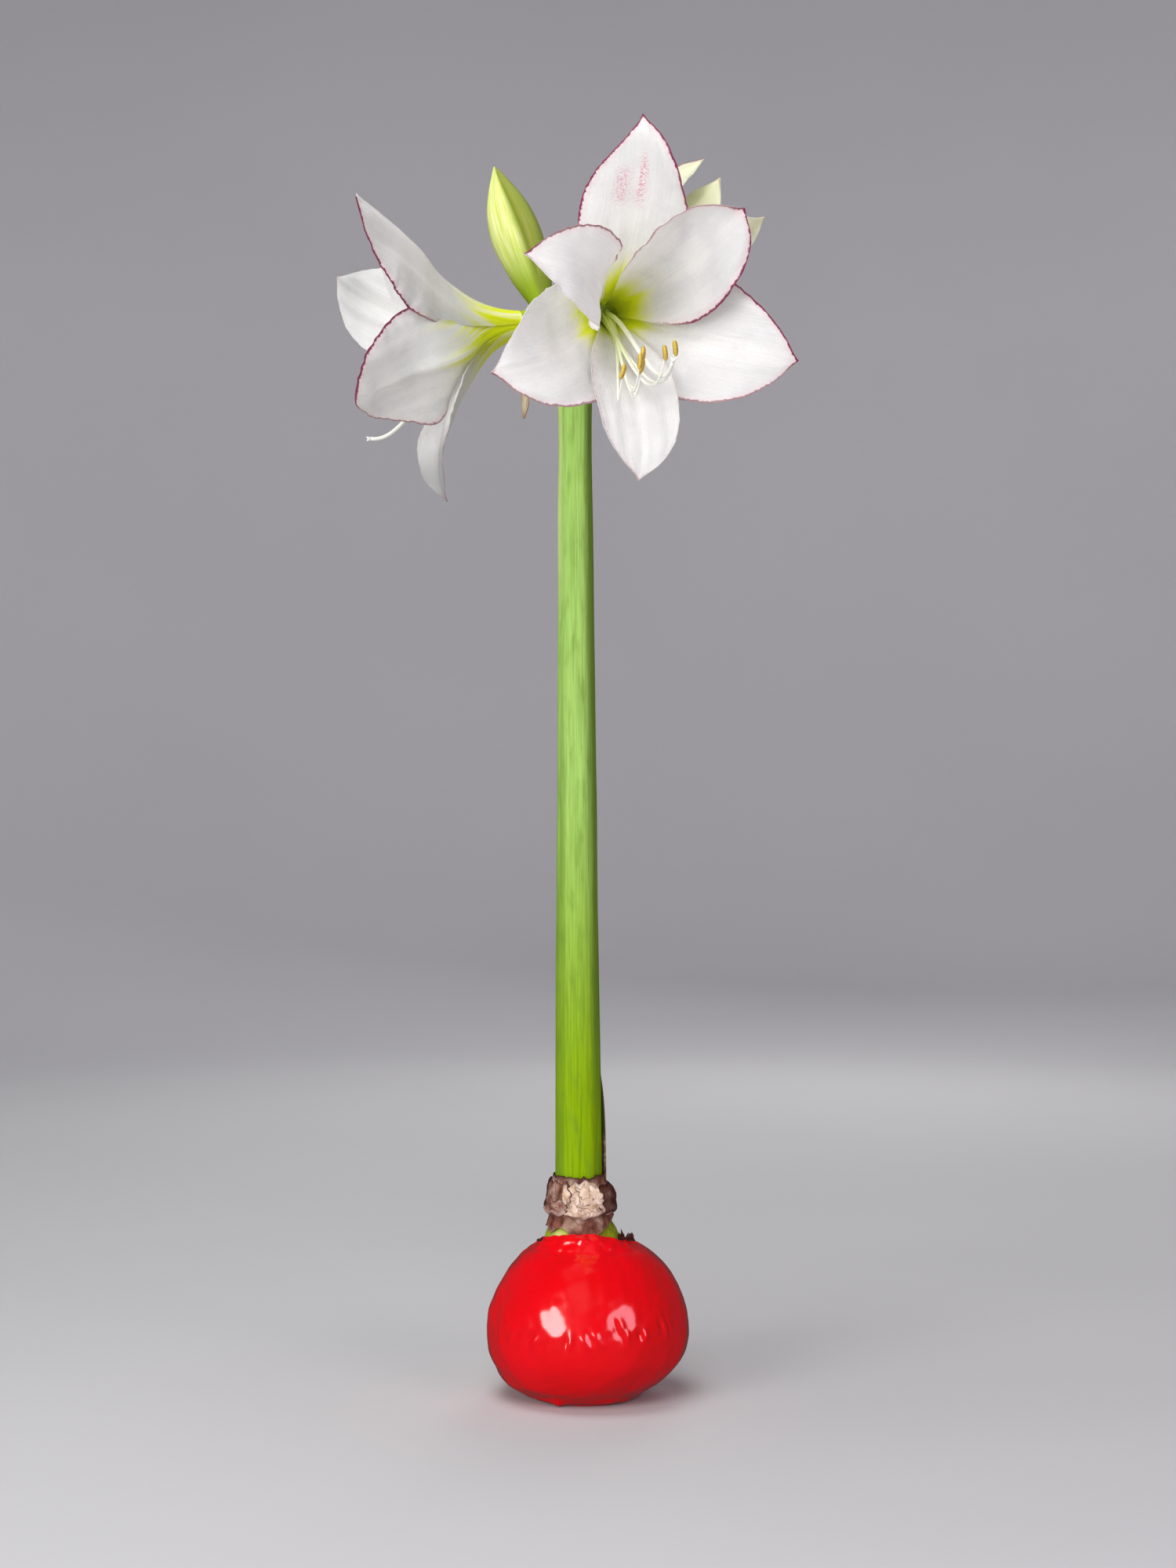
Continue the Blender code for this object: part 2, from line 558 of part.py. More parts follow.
def make_stamens(bloom):
    """Six stamens and the style, fused to the small boss they rise from at the bottom of the tube."""
    frame = bloom_frame(bloom.axis)
    origin = np.array(bloom.base)

    def placed(points):
        return [np.asarray(p, float) @ frame + origin for p in points]

    boss_line = placed([(0, 0, 0), (0, 0, BOSS_HEIGHT)])
    boss = add_solid("boss", *stacked(tube(boss_line, [BOSS_RADIUS, BOSS_TOP_RADIUS], BOSS_SIDES)), "stamen")
    pieces = []
    for k, tip in enumerate(bloom.anthers):
        turn = tau * (k + 0.5) / len(bloom.anthers)
        root = np.array([STAMEN_CIRCLE * cos(turn), STAMEN_CIRCLE * sin(turn), STAMEN_ROOT])
        tip = np.array(tip, float)
        line = bezier([root, root + (0, 0, 0.45 * tip[2]), tip + (0, -SAG, -0.2 * tip[2]), tip], FILAMENT_ROWS)
        rings = tube(placed(line), [FILAMENT_RADIUS] * len(line), FILAMENT_SIDES)
        pieces.append(add_solid("filament", *stacked(rings), "stamen"))
        hang = unit([0.25 * cos(turn), 1.0, 0.45])
        anther_line = [tip + hang * ANTHER_LENGTH * share for share, swell in ANTHER_SHAPE]
        widths = [ANTHER_RADIUS * swell for share, swell in ANTHER_SHAPE]
        pieces.append(add_solid("anther", *stacked(tube(placed(anther_line), widths, ANTHER_SIDES)), "stamen"))
    tip = np.array(bloom.style, float)
    root = np.array([0, 0, STAMEN_ROOT])
    line = bezier([root, root + (0, 0, 0.5 * tip[2]), tip + (0, -0.6 * SAG, -0.25 * tip[2]), tip], FILAMENT_ROWS)
    end = unit(line[-1] - line[-2])
    line += [line[-1] + end * 0.8, line[-1] + end * 1.9]
    radii = [STYLE_RADIUS] * FILAMENT_ROWS + [STIGMA_RADIUS, 0.5 * STIGMA_RADIUS]
    pieces.append(add_solid("style", *stacked(tube(placed(line), radii, ANTHER_SIDES)), "stamen"))
    join(f"{bloom.name}_stamens", boss, pieces, "stamen")


def make_bud():
    s = np.linspace(0, 1, BUD_ROWS)
    line = np.stack([curve_value(BUD_PLACES, [p[k] for p in BUD_LINE], s) for k in range(3)], -1)
    radii = curve_value([p[0] for p in BUD_RADII], [p[1] for p in BUD_RADII], s)
    add_solid("bud", *stacked(tube(line, radii, BUD_SIDES, BUD_LOBES)), "bud_green")


def make_bracts():
    """Two withered bracts, hanging from just under the flower stalks."""
    s = np.linspace(0, 1, 7)
    u = np.linspace(-1, 1, 5)
    for name, azimuth, length in BRACTS:
        turn = radians(azimuth)
        outward = np.array([cos(turn), sin(turn), 0])
        around = np.array([-sin(turn), cos(turn), 0])
        tilt = np.radians(curve_value((0, 0.3, 1), BRACT_TILT, s))
        heading = np.sin(tilt)[:, None] * outward + np.cos(tilt)[:, None] * np.array([0, 0, 1.0])
        steps = (heading[1:] + heading[:-1]) / 2 * length / (len(s) - 1)
        start = np.array(SCAPE_HEAD) - (0, 0, BRACT_DROP) + outward * BRACT_REACH
        rib = start + np.concatenate([np.zeros((1, 3)), np.cumsum(steps, axis=0)])
        normal = np.cross(heading, around)
        half = BRACT_WIDTH / 2 * (0.55 + 0.6 * s - 1.05 * s**3)
        curl = BRACT_CURL * (1 + np.sin(tau * 0.8 * s))
        grid = (rib[:, None] + (half[:, None] * u)[..., None] * around
                + (half[:, None] * curl[:, None] * u**2)[..., None] * normal[:, None])
        normals = np.broadcast_to(normal[:, None], grid.shape)
        add_solid(f"spathe_bract_{name}", *blade(grid, normals, BRACT_THICKNESS), "bract")


def main():
    clear_scene()
    make_wax_coat()
    make_bulb()
    make_tunic("neck_tunic_lower", LOWER_TUNIC, "tunic_dark", (0, 0, 0, 0), LOWER_TEAR_RISE)
    edge = TUNIC_TEAR
    make_tunic("neck_tunic_upper", UPPER_TUNIC, "tunic_pale", (0.4 * edge, 0.2 * edge, 0, 0.3 * edge, edge))
    make_scrap()
    make_scape()
    make_young_leaf()
    for bloom in BLOOMS:
        make_stalk(f"{bloom.name}_stalk", bloom.base, bloom.axis, bloom.seat)
        make_tepals(bloom, "tepal_cream" if bloom is BACK else "tepal_white")
        make_stamens(bloom)
    lower, upper = (np.array(p) for p in BUD_LINE[:2])
    make_stalk("bud_stalk", lower, upper - lower, BUD_SEAT)
    make_bud()
    make_bracts()


main()
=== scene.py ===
"""The looks of a waxed amaryllis bulb in flower: skin, colour, light and camera round its solid parts.

Sizes are in millimetres and degrees, with +Z up. The origin is under the middle of the wax coat's foot,
and the camera looks along +Y.
"""

from collections import namedtuple
from math import cos, pi, radians, sin, sqrt, tau

import bpy
import numpy as np
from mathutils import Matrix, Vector


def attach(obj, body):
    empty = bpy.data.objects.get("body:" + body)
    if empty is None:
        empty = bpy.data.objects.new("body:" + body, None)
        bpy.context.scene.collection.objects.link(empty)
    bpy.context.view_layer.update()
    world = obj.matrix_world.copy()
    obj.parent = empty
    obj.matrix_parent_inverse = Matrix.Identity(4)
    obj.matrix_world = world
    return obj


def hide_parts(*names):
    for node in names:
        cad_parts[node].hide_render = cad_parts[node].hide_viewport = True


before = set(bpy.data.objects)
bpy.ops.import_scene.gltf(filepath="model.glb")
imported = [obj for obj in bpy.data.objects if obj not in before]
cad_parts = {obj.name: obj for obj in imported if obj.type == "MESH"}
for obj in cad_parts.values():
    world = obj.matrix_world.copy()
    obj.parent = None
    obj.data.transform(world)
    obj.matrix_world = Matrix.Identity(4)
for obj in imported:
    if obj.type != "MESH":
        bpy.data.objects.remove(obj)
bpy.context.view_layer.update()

MM = 0.001
# Stretch that turns places in metres into millimetres
PER_MM = (1000.0, 1000.0, 1000.0)

# Camera and light
CAMERA_PLACE = (0.0, -1200.0, 280.0)
CAMERA_LENS = 60.0
CAMERA_SENSOR = 36.0
LAMP_SIZE = (800.0, 860.0)
# Each lamp: its place, its power in watts and its colour
LAMPS = {
    "left_lamp": ((-950.0, -1150.0, 520.0), 12.4, (1.0, 1.0, 1.0)),
    "right_lamp": ((950.0, -1150.0, 560.0), 5.2, (1.0, 0.86, 1.0)),
    "top_fill": ((-250.0, -150.0, 1500.0), 9.0, (1.0, 1.0, 1.0)),
    "high_fill": ((-150.0, -1150.0, 1250.0), 7.4, (1.0, 1.0, 0.98)),
    "front_fill": ((-250.0, -1450.0, 300.0), 4.2, (1.0, 1.0, 1.0)),
    "back_fill": ((300.0, 1400.0, 900.0), 5.0, (1.0, 1.0, 0.97)),
}
LAMP_AIM = (0.0, 0.0, 300.0)
WORLD_COLOUR = (0.86, 0.89, 0.95)
WORLD_STRENGTH = 0.05
STUDIO_RADIUS = 2400.0
STUDIO_CORNER = 900.0
STUDIO_WALL = 1500.0
STUDIO_DARK = (0.30, 0.30, 0.31)
STUDIO_PALE = (0.60, 0.595, 0.61)
STUDIO_WHITE = (0.84, 0.83, 0.86)

# Wax coat: (height, radius, shift along X) of its rings, its collar and its rim with their climb to the front
WAX_RINGS = [(0, 24.5, -1.5), (1.2, 26.5, -1.5), (2.4, 28.5, -2.5), (7, 35.5, -3), (13, 41, -1.5),
             (20, 45, -0.6), (29, 46.2, 0), (38, 45.4, 0), (48, 42, 0.3), (57, 36.8, 0.2), (64, 30.6, 0)]
WAX_COLLAR = (68.0, 24.8, -0.5, 1.4)
WAX_RIM = (69.6, 20.6, -2.2, 6.2)
WAX_THICKNESS = 2.2
WAX_FLOOR = 3.0
WAX_ROUND = 1.0
WAX_COLUMNS = 320
DRAW_IN = 0.17
CLIMB_POWER = 1.6
# Creases: how many, the height of their row and how far it tilts
CREASES = 38
CREASE_HEIGHT = 35.0
CREASE_SLOPE = 3.9
# Azimuth of the drip on the lip of the foot
DRIP_TURN = -113.0

# Bulb and neck: (height, radius, shift along X)
BULB_RINGS = [(60, 30.0, 0), (66.5, 23.2, -1.2), (70, 18.6, -2.3), (74, 16.9, -2.9), (77, 15.5, -3.1),
              (80, 14.1, -3.1), (86, 13.5, -3.1), (92, 13.1, -3.1)]
BULB_COLUMNS = 160
UPPER_RINGS = [(83.4, 14.9, -3.4), (84.2, 15.5, -3.3), (85.6, 15.8, -3.1), (88, 15.6, -3.1),
               (92, 15.5, -3.1), (95, 14.6, -3.6), (97.5, 13.3, -4.2), (99.5, 12.6, -4.2), (101, 12.3, -4.2)]
LOWER_RINGS = [(73.6, 17.7, -3.0), (76.9, 16.7, -3.1), (79, 16.1, -3.1), (82, 15.3, -3.1), (86, 14.6, -3.1)]
# How far the lower edge of the lower band is torn upwards, by azimuth
LOWER_TEAR = [(-180, 3.5), (-160, 4.5), (-150, 2.4), (-143, 2.4), (-129, 4.8), (-115, 3.8), (-104, 0.6),
              (-75, 0), (-60, 2.5), (-42, 5.0), (-20, 8.5), (20, 8.0), (60, 3.0), (180, 3.5)]
NECK_RADIUS = 14

# One band of dry tunic: its seed, how pale it is, how rough its tear is, and what is torn away below
Band = namedtuple("Band", "name node slot rings seed pale tear gone")
BANDS = [
    Band("tunic_lower_band", "neck_tunic_lower", "tunic_dark", LOWER_RINGS, 51, 0.12, 0.4, LOWER_TEAR),
    Band("tunic_upper_band", "neck_tunic_upper", "tunic_pale", UPPER_RINGS, 61, 0.1, 0.8, ()),
]

# One torn flake of dry tunic: its azimuths, its heights, its lift off the band below, how far its lower
# edge curls out, how pale and how dark it is, how strong the painted highlight on its curled edge is, how
# rough its tear is, its seed.
Flake = namedtuple("Flake", "name turn height lift curl pale dark lip tear seed")
FLAKES = [
    Flake("left_high", (-170, -107), (87.5, 98.4), 0.35, 0.25, 0.12, 0.12, 0.1, 1.0, 36),
    Flake("left_lip", (-176, -114), (83.9, 90.5), 0.6, 0.9, 0.15, 0.05, 0.6, 0.8, 35),
    Flake("dark_right", (-60, 24), (84.8, 97.2), 0.55, 0.5, 0.0, 0.6, 0.2, 0.9, 34),
    Flake("tan_middle", (-122, -55), (84.2, 98.6), 0.7, 0.2, 0.85, 0.0, 0.15, 1.2, 31),
    Flake("tan_low", (-115, -56), (83.2, 89.8), 1.0, 0.6, 0.7, 0.0, 0.2, 1.0, 33),
    Flake("tan_right", (-92, -53), (89.0, 97.4), 1.1, 0.2, 1.15, 0.0, 0.15, 0.7, 32),
    Flake("back_left", (80, 172), (84.0, 98.6), 0.7, 0.7, 0.3, 0.05, 0.4, 1.0, 37),
    Flake("back_right", (28, 95), (83.8, 97.6), 0.9, 0.7, 0.55, 0.0, 0.4, 1.0, 38),
]
FLAKE_THICKNESS = 0.35

# Scape and young leaf
SCAPE_FOOT = (-4.2, 0.0, 74.0)
SCAPE_HEAD = (-6.1, 0.0, 475.0)
SCAPE_RADII = [(0, 10.5), (0.07, 10.5), (0.45, 9.1), (0.8, 7.9), (0.96, 7.9), (0.985, 8.8), (1, 9.2)]
SCAPE_CROWN = 0.8
LEAF_FOOT = 92.3
LEAF_TIP = 149.0
LEAF_RADIUS = 12.2
LEAF_AZIMUTH = (24, 37)
LEAF_HALF_SPAN = 30

# Tepals
TUBE_FLARE = 8
TEPAL_RISE = 1.6
TEPAL_TIP = 0.9985
NIB_LENGTH = 4.5
NIB_WAIST = 0.42
KEEL_WIDTH = 12.0
# The green reaches this many times as far on a tepal's outside
OUTSIDE_GREEN = 1.6
# Groove on the left bloom's upper tepal: place across, half width, place along, half length and depth
LONG_GROOVE = (-7.0, 5.0, 76, 28, 2.4)
# Pink flecks on the top tepal: place across, half width, place along and half length of each patch
BLUSHES = [(7.6, 2.7, 75, 9), (-0.4, 1.7, 79, 12)]
TEPAL_ROWS = 84
TEPAL_COLUMNS = 45
MARGIN_THICKNESS = 0.35
MIDRIB_THICKNESS = 1.1

Whorl = namedtuple("Whorl", "radius claw")
OUTER = Whorl(radius=5.6, claw=10.2)
INNER = Whorl(radius=4.5, claw=8.0)

# One tepal. azimuth: its place round the tube. flare: angle from the tube's axis at a quarter, a half,
# three quarters and the whole of its length. cup: half angle of its hollow at a quarter, at 0.6 and at the
# tip. sway: sideways bend at two thirds and at the tip. twist: turn about its own midrib. lean: extra cup
# on one side. widest: place of its full width. fullness: roundness from there to the tip. rouge: depth of
# the pink margin on its two sides. green: how far up it the green of the tube reaches, and how much farther
# on one side. keel: depth of the fold along its midrib. Last, the painted shade that greys it towards its
# tip.
Tepal = namedtuple(
    "Tepal",
    "name whorl azimuth length width flare cup sway twist lean widest fullness rouge green keel tone",
    defaults=((0, 0), 0, 0, 0.6, 1.5, (0.4, 0.4), (24, 0.0), 1.2, 0.0))
# One bloom: the base of its tube, its axis, where its stalk stands round the scape's head, how far its
# tepals turn cream green, which is partly their own colour and partly painted shade, how far its stamens
# sag, its tepals, and the tips of its stamens and style in its own frame.
Bloom = namedtuple("Bloom", "name base axis seat flush sag tepals anthers style")

FRONT = Bloom(
    "front", base=(7.3, -48.0, 486.7), axis=(0.175, -0.979, -0.104), seat=-80, flush=0.0, sag=34,
    tepals=[
        Tepal("top", OUTER, 84, 108, 48, flare=(30, 50, 50, 105), cup=(40, 20, 5), sway=(5, 10), twist=-25,
              lean=-10, widest=0.55, fullness=1.1, rouge=(1.0, 1.0), green=(41, -0.2), tone=0.15),
        Tepal("upper_left", INNER, 160, 119, 39, flare=(12, 4, 53, 96), cup=(15, 20, 8), sway=(-5, 20),
              twist=25, lean=-5, widest=0.7, fullness=1.0, rouge=(0.9, 0.15), green=(26, 0.0)),
        Tepal("upper_right", INNER, 35, 103, 48, flare=(25, 30, 35, 110), cup=(70, 60, 25), sway=(5, 15),
              twist=-25, lean=40, fullness=1.6, rouge=(1.0, 0.7), green=(37, -0.05), keel=1.4, tone=0.4),
        Tepal("lower_left", OUTER, 215, 102, 53, flare=(30, 35, 50, 100), cup=(40, 30, -15), sway=(-5, -25),
              twist=-10, lean=-5, widest=0.55, fullness=1.2, rouge=(0.12, 0.8), green=(42, 0.0), keel=1.4),
        Tepal("lower_right", OUTER, -24, 107, 57, flare=(30, 40, 55, 110), cup=(35, 30, 15), sway=(5, 20),
              twist=10, widest=0.55, fullness=1.2, rouge=(0.75, 1.0), green=(35, -0.05), keel=1.4, tone=0.1),
        Tepal("bottom", INNER, -88, 106, 36, flare=(30, 40, 60, 110), cup=(45, 35, 15), sway=(5, -10),
              twist=10, fullness=1.6, rouge=(0.3, 0.1), green=(28, 0.0), tone=0.15),
    ],
    anthers=[(-7, -29, 82), (-1, -25, 88), (9, -21.5, 90), (13, -19.5, 91), (0.5, -22, 86), (0, -27, 86)],
    style=(11, -25, 96))

LEFT = Bloom(
    "left", base=(-30.8, -6.0, 490.3), axis=(-0.958, -0.236, -0.165), seat=-170, flush=0.0, sag=9,
    tepals=[
        Tepal("upper", OUTER, 43, 119.5, 57, flare=(35, 60, 45, 80), cup=(20, 40, 10), sway=(-5, -20),
              twist=-5, lean=-10, widest=0.55, fullness=1.0, rouge=(1.0, 0.0), green=(26, 0.0), keel=3.4),
        Tepal("upper_far", INNER, 117, 69, 28, flare=(20, 25, 40, 80), cup=(35, 15, 5), sway=(0, -10),
              widest=0.65, rouge=(0.0, 0.0), green=(25, 0.0), keel=1.0),
        Tepal("far", OUTER, 162, 105, 44, flare=(40, 45, 50, 85), cup=(45, 10, -5), sway=(-20, -25),
              twist=20, lean=15, widest=0.5, fullness=1.3, rouge=(0.0, 0.0), tone=0.6),
        Tepal("near", INNER, -29, 124, 54, flare=(45, 10, 45, 90), cup=(72, -25, -5), sway=(-5, 20),
              twist=-10, lean=40, widest=0.52, fullness=0.8, rouge=(0.8, 1.0), green=(36, 0.12), keel=4.5),
        Tepal("lower", OUTER, -78, 98, 47, flare=(40, 55, 70, 105), cup=(25, 25, 15), sway=(5, 0), twist=15,
              lean=-35, widest=0.55, fullness=1.4, rouge=(0.05, 0.1), green=(28, 0.0), keel=1.6, tone=1.0),
        Tepal("lower_far", INNER, -135, 76, 38, flare=(25, 25, 30, 50), cup=(40, 15, -5), sway=(-10, -5),
              lean=5, widest=0.65, keel=1.0),
    ],
    anthers=[(0, -12, 58), (5, -10, 60), (10, -8, 58), (1, -4, 62), (6, -2, 60), (11, -1, 58)],
    style=(4, -43, 78))

BACK = Bloom(
    "back", base=(7.0, 24.0, 513.5), axis=(0.672, 0.471, 0.572), seat=10, flush=0.75, sag=4,
    tepals=[
        Tepal("upper", OUTER, 103, 81, 38, flare=(20, 25, 5, 10), cup=(45, 0, -25), sway=(10, 10),
              twist=-5, lean=-10, fullness=1.4, rouge=(0.9, 0.1)),
        Tepal("near", INNER, 153, 79, 26, flare=(15, 10, 10, 35), cup=(45, 35, 10), sway=(0, -15),
              twist=-25, lean=-20, fullness=1.4, rouge=(0.1, 0.1)),
        Tepal("right", OUTER, 216, 86, 38, flare=(25, 20, 10, 20), cup=(45, 10, -25), sway=(-5, -20),
              twist=10, lean=5, rouge=(0.0, 0.0)),
        Tepal("lower", INNER, 278, 91, 36, flare=(15, 10, 15, 25), cup=(45, 20, -5)),
        Tepal("far", OUTER, 338, 94, 40, flare=(25, 20, 15, 25), cup=(45, 20, -5)),
        Tepal("left", INNER, 36, 90, 33, flare=(15, 10, 15, 25), cup=(45, 20, -5)),
    ],
    anthers=[(5, 0, 58), (2, 5, 60), (-3, 5, 57), (-5, 0, 60), (-3, -5, 57), (2, -5, 60)],
    style=(0, 0, 66))

BLOOMS = [FRONT, LEFT, BACK]
TEPAL_SEED = 100
TEPAL_SEED_STEP = 10

# Stamens and style: the circle that the filaments stand on, and the knob under it as (height, radius)
STAMEN_CIRCLE = 2.1
STAMEN_ROOT = 0.8
BOSS = [(0, 3.3), (0.8, 3.2), (1.8, 2.9), (2.4, 2.3)]
FILAMENT_RADIUS = 0.7
FILAMENT_DROP = 10.0
STYLE_RADIUS = 0.95
STIGMA_RADIUS = 0.8
ANTHER_LENGTH = 7.0
ANTHER_RADIUS = 1.05

# Flower stalks, each swelling into an ovary: (place along the ovary, radius)
STALK_RADIUS = 3.3
OVARY_FOOT = 3.9
OVARY_RADII = [(0, OVARY_FOOT), (0.3, 5.5), (0.6, 5.9), (0.85, 5.8), (1, 5.2)]
OVARY_LENGTH = 15.0
STALK_SEAT = 5.1
STALK_LIFT = 2.4
STALK_RISE = 9.0
STALK_SIDES = 48
GAP = 0.3

# Bud
BUD_LINE = [(-21.3, 22.0, 503.6), (-27.6, 28.0, 522.0), (-35.4, 36.0, 544.4), (-44.6, 45.0, 574.1)]
BUD_PLACES = (0, 0.27, 0.6, 1)
BUD_RADII = [(0, 5.0), (0.08, 6.6), (0.22, 9.8), (0.4, 12.0), (0.55, 12.5), (0.7, 10.9), (0.84, 7.0),
             (0.94, 3.2), (1, 0.4)]
BUD_SEAT = 100
BUD_SEAMS = (150.0, 270.0, 30.0)

# Withered bracts: azimuth round the scape, and length
BRACTS = [("left", 205, 34), ("back", 20, 30)]
BRACT_WIDTH = 15.0
BRACT_THICKNESS = 0.45
BRACT_DROP = 4.0
BRACT_REACH = 9.8
# Angle of a bract's middle line from straight up, at its foot, at three tenths of it and at its tip
BRACT_TILT = (60, 140, 175)


# Number helpers


def curve_value(places, values, s):
    """Smooth curve through (places, values), read at s."""
    places = np.asarray(places, float)
    values = np.asarray(values, float)
    s = np.clip(np.asarray(s, float), places[0], places[-1])
    slope = np.diff(values) / np.diff(places)
    steer = np.concatenate([[slope[0]], (slope[:-1] + slope[1:]) / 2, [slope[-1]]])
    i = np.clip(np.searchsorted(places, s, side="right") - 1, 0, len(places) - 2)
    h = places[i + 1] - places[i]
    t = (s - places[i]) / h
    return ((2 * t**3 - 3 * t**2 + 1) * values[i] + (t**3 - 2 * t**2 + t) * h * steer[i]
            + (3 * t**2 - 2 * t**3) * values[i + 1] + (t**3 - t**2) * h * steer[i + 1])


def table_value(table, s, column=1):
    """Smooth curve through one column of a table whose first column holds the places."""
    return curve_value([row[0] for row in table], [row[column] for row in table], s)


def unit(vectors):
    """A vector, or each vector of an array, made one long."""
    vectors = np.asarray(vectors, float)
    return vectors / np.maximum(np.linalg.norm(vectors, axis=-1, keepdims=True), 1e-9)


def smooth_step(low, high, x):
    t = np.clip((x - low) / (high - low), 0, 1)
    return t * t * (3 - 2 * t)


def hump(x, middle, width, power=2):
    """A smooth bump of height one round middle."""
    return np.exp(-((x - middle) / width)**power)


def fade(x, reach):
    """One at nought, dying away over this reach."""
    return np.exp(-x / reach)


def ripples(points, size, seed, count=9):
    """Smooth random relief of about one unit, its bumps about size across, at an array of points."""
    draw = np.random.default_rng(seed)
    total = np.zeros(points.shape[:-1])
    for _ in range(count):
        way = unit(draw.normal(size=points.shape[-1]))
        wave = tau / (size * draw.uniform(0.7, 1.8))
        total += np.sin(wave * (points @ way) + draw.uniform(0, tau))
    return total / sqrt(count)


def bezier(points, count):
    """Points along the cubic curve with these four handles."""
    a, b, c, d = (np.asarray(p, float) for p in points)
    line = []
    for s in shares(count):
        line.append((1 - s)**3 * a + 3 * (1 - s)**2 * s * b + 3 * (1 - s) * s**2 * c + s**3 * d)
    return line


def travelled(heading, length):
    """Points along a line of this length that sets out from nought and follows these headings."""
    steps = (heading[1:] + heading[:-1]) / 2 * length / (len(heading) - 1)
    return np.concatenate([np.zeros((1, 3)), np.cumsum(steps, axis=0)])


def shares(count):
    """Even steps from nought to one."""
    return np.linspace(0, 1, count)


def full_turn(count):
    return np.linspace(0, tau, count, endpoint=False)


def angle_past(turn, start=0.0):
    """Angle from start to turn, from minus half a turn to half a turn."""
    return (turn - start + pi) % tau - pi


def points_at(*parts):
    """Points whose coordinates are numbers or arrays that fit together."""
    return np.stack(np.broadcast_arrays(*parts), -1)


def polar(reach, turn, level, shift=0.0):
    """Points at a reach and an azimuth round an upright line."""
    return points_at(shift + reach * np.cos(turn), reach * np.sin(turn), level)


def compass(turn):
    """Level directions outward and around at one azimuth."""
    return np.array([cos(turn), sin(turn), 0]), np.array([-sin(turn), cos(turn), 0])


def bloom_frame(axis):
    """Rows right, up and out of a bloom whose tube points along axis."""
    out = unit(axis)
    right = unit(np.cross((0.0, 0.0, 1.0), out))
    return np.stack([right, np.cross(out, right), out])


# Mesh helpers


def add_piece(name, shape, material, replaces=(), layers=None):
    """A smooth piece from points in millimetres and faces, with number layers for its material."""
    points, faces = shape
    mesh = bpy.data.meshes.new(name)
    mesh.from_pydata((np.asarray(points, float) * MM).tolist(), [], np.asarray(faces, dtype=object).tolist())
    mesh.validate()
    mesh.shade_smooth()
    for layer, values in (layers or {}).items():
        values = np.asarray(values, np.float32)
        if values.ndim == 2:
            made = mesh.attributes.new(layer, "FLOAT_VECTOR", "POINT")
            made.data.foreach_set("vector", values.ravel())
        else:
            made = mesh.attributes.new(layer, "FLOAT", "POINT")
            made.data.foreach_set("value", values)
    piece = bpy.data.objects.new(name, mesh)
    bpy.context.scene.collection.objects.link(piece)
    mesh.materials.append(material)
    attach(piece, "root")
    if replaces:
        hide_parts(*replaces)


def grid_faces(rows, columns, start=0, turned=False, closed=False):
    """Quads of a grid of points, numbered from start. closed joins its last column to its first."""
    faces = []
    for i in range(rows - 1):
        for j in range(columns if closed else columns - 1):
            k = (j + 1) % columns
            quad = [start + i * columns + j, start + i * columns + k,
                    start + (i + 1) * columns + k, start + (i + 1) * columns + j]
            faces.append(quad[::-1] if turned else quad)
    return faces


def grid_normals(grid, like):
    """Unit normals of a grid surface, on the side that like points to."""
    normals = np.cross(np.gradient(grid, axis=0), np.gradient(grid, axis=1))
    length = np.linalg.norm(normals, axis=-1, keepdims=True)
    normals = np.where(length > 1e-9, normals / np.maximum(length, 1e-9), like)
    return normals * np.sign((normals * like).sum(-1, keepdims=True) + 1e-12)


def flat_layer(values, grid):
    """Values over a grid of points, as one row. A vector layer keeps its three columns."""
    if np.ndim(values) == 3:
        return np.reshape(values, (-1, 3))
    return np.broadcast_to(values, grid.shape[:2]).ravel()


def sheet_shape(middle, normals, thickness):
    """Points and faces of a closed thin sheet about a grid, its thickness given at each point."""
    rows, columns = middle.shape[:2]
    half = (np.broadcast_to(thickness, middle.shape[:2]) / 2)[..., None]
    points = np.concatenate([middle + normals * half, middle - normals * half]).reshape(-1, 3)
    shift = rows * columns
    handed = np.cross(middle[1, 0] - middle[0, 0], middle[0, 1] - middle[0, 0]) @ normals[0, 0] > 0
    faces = grid_faces(rows, columns, 0, handed) + grid_faces(rows, columns, shift, not handed)
    edge = list(range(columns))
    edge += [i * columns + columns - 1 for i in range(1, rows)]
    edge += [(rows - 1) * columns + j for j in range(columns - 2, -1, -1)]
    edge += [i * columns for i in range(rows - 2, 0, -1)]
    for k, here in enumerate(edge):
        there = edge[(k + 1) % len(edge)]
        rim = [here, here + shift, there + shift, there]
        faces.append(rim if handed else rim[::-1])
    return points, faces


def add_sheet(name, grid, normals, thickness, material, replaces, layers):
    """A thin sheet. Each layer holds its values, or a pair of them for its inside and its outside."""
    spread = {}
    for key, values in layers.items():
        both = values if isinstance(values, tuple) else (values, values)
        spread[key] = np.concatenate([flat_layer(face, grid) for face in both])
    add_piece(name, sheet_shape(grid, normals, thickness), material, replaces, spread)


def lathe_shape(rings):
    """Points and faces of a skin that runs from ring to ring, closed by a fan at each end."""
    rings = np.asarray(rings, float)
    rows, columns = rings.shape[:2]
    points = np.concatenate([rings.reshape(-1, 3), [rings[0].mean(0)], [rings[-1].mean(0)]])
    faces = grid_faces(rows, columns, closed=True)
    low = rows * columns
    last = (rows - 1) * columns
    for k in range(columns):
        nxt = (k + 1) % columns
        faces.append([nxt, k, low])
        faces.append([last + k, last + nxt, low + 1])
    return points, faces


def lathe_layer(values, rings):
    """Layer values of a lathe shape: one for each ring point, and the means at its two ends."""
    flat = flat_layer(values, rings)
    columns = rings.shape[1]
    return np.concatenate([flat, flat[:columns].mean(0)[None], flat[-columns:].mean(0)[None]])


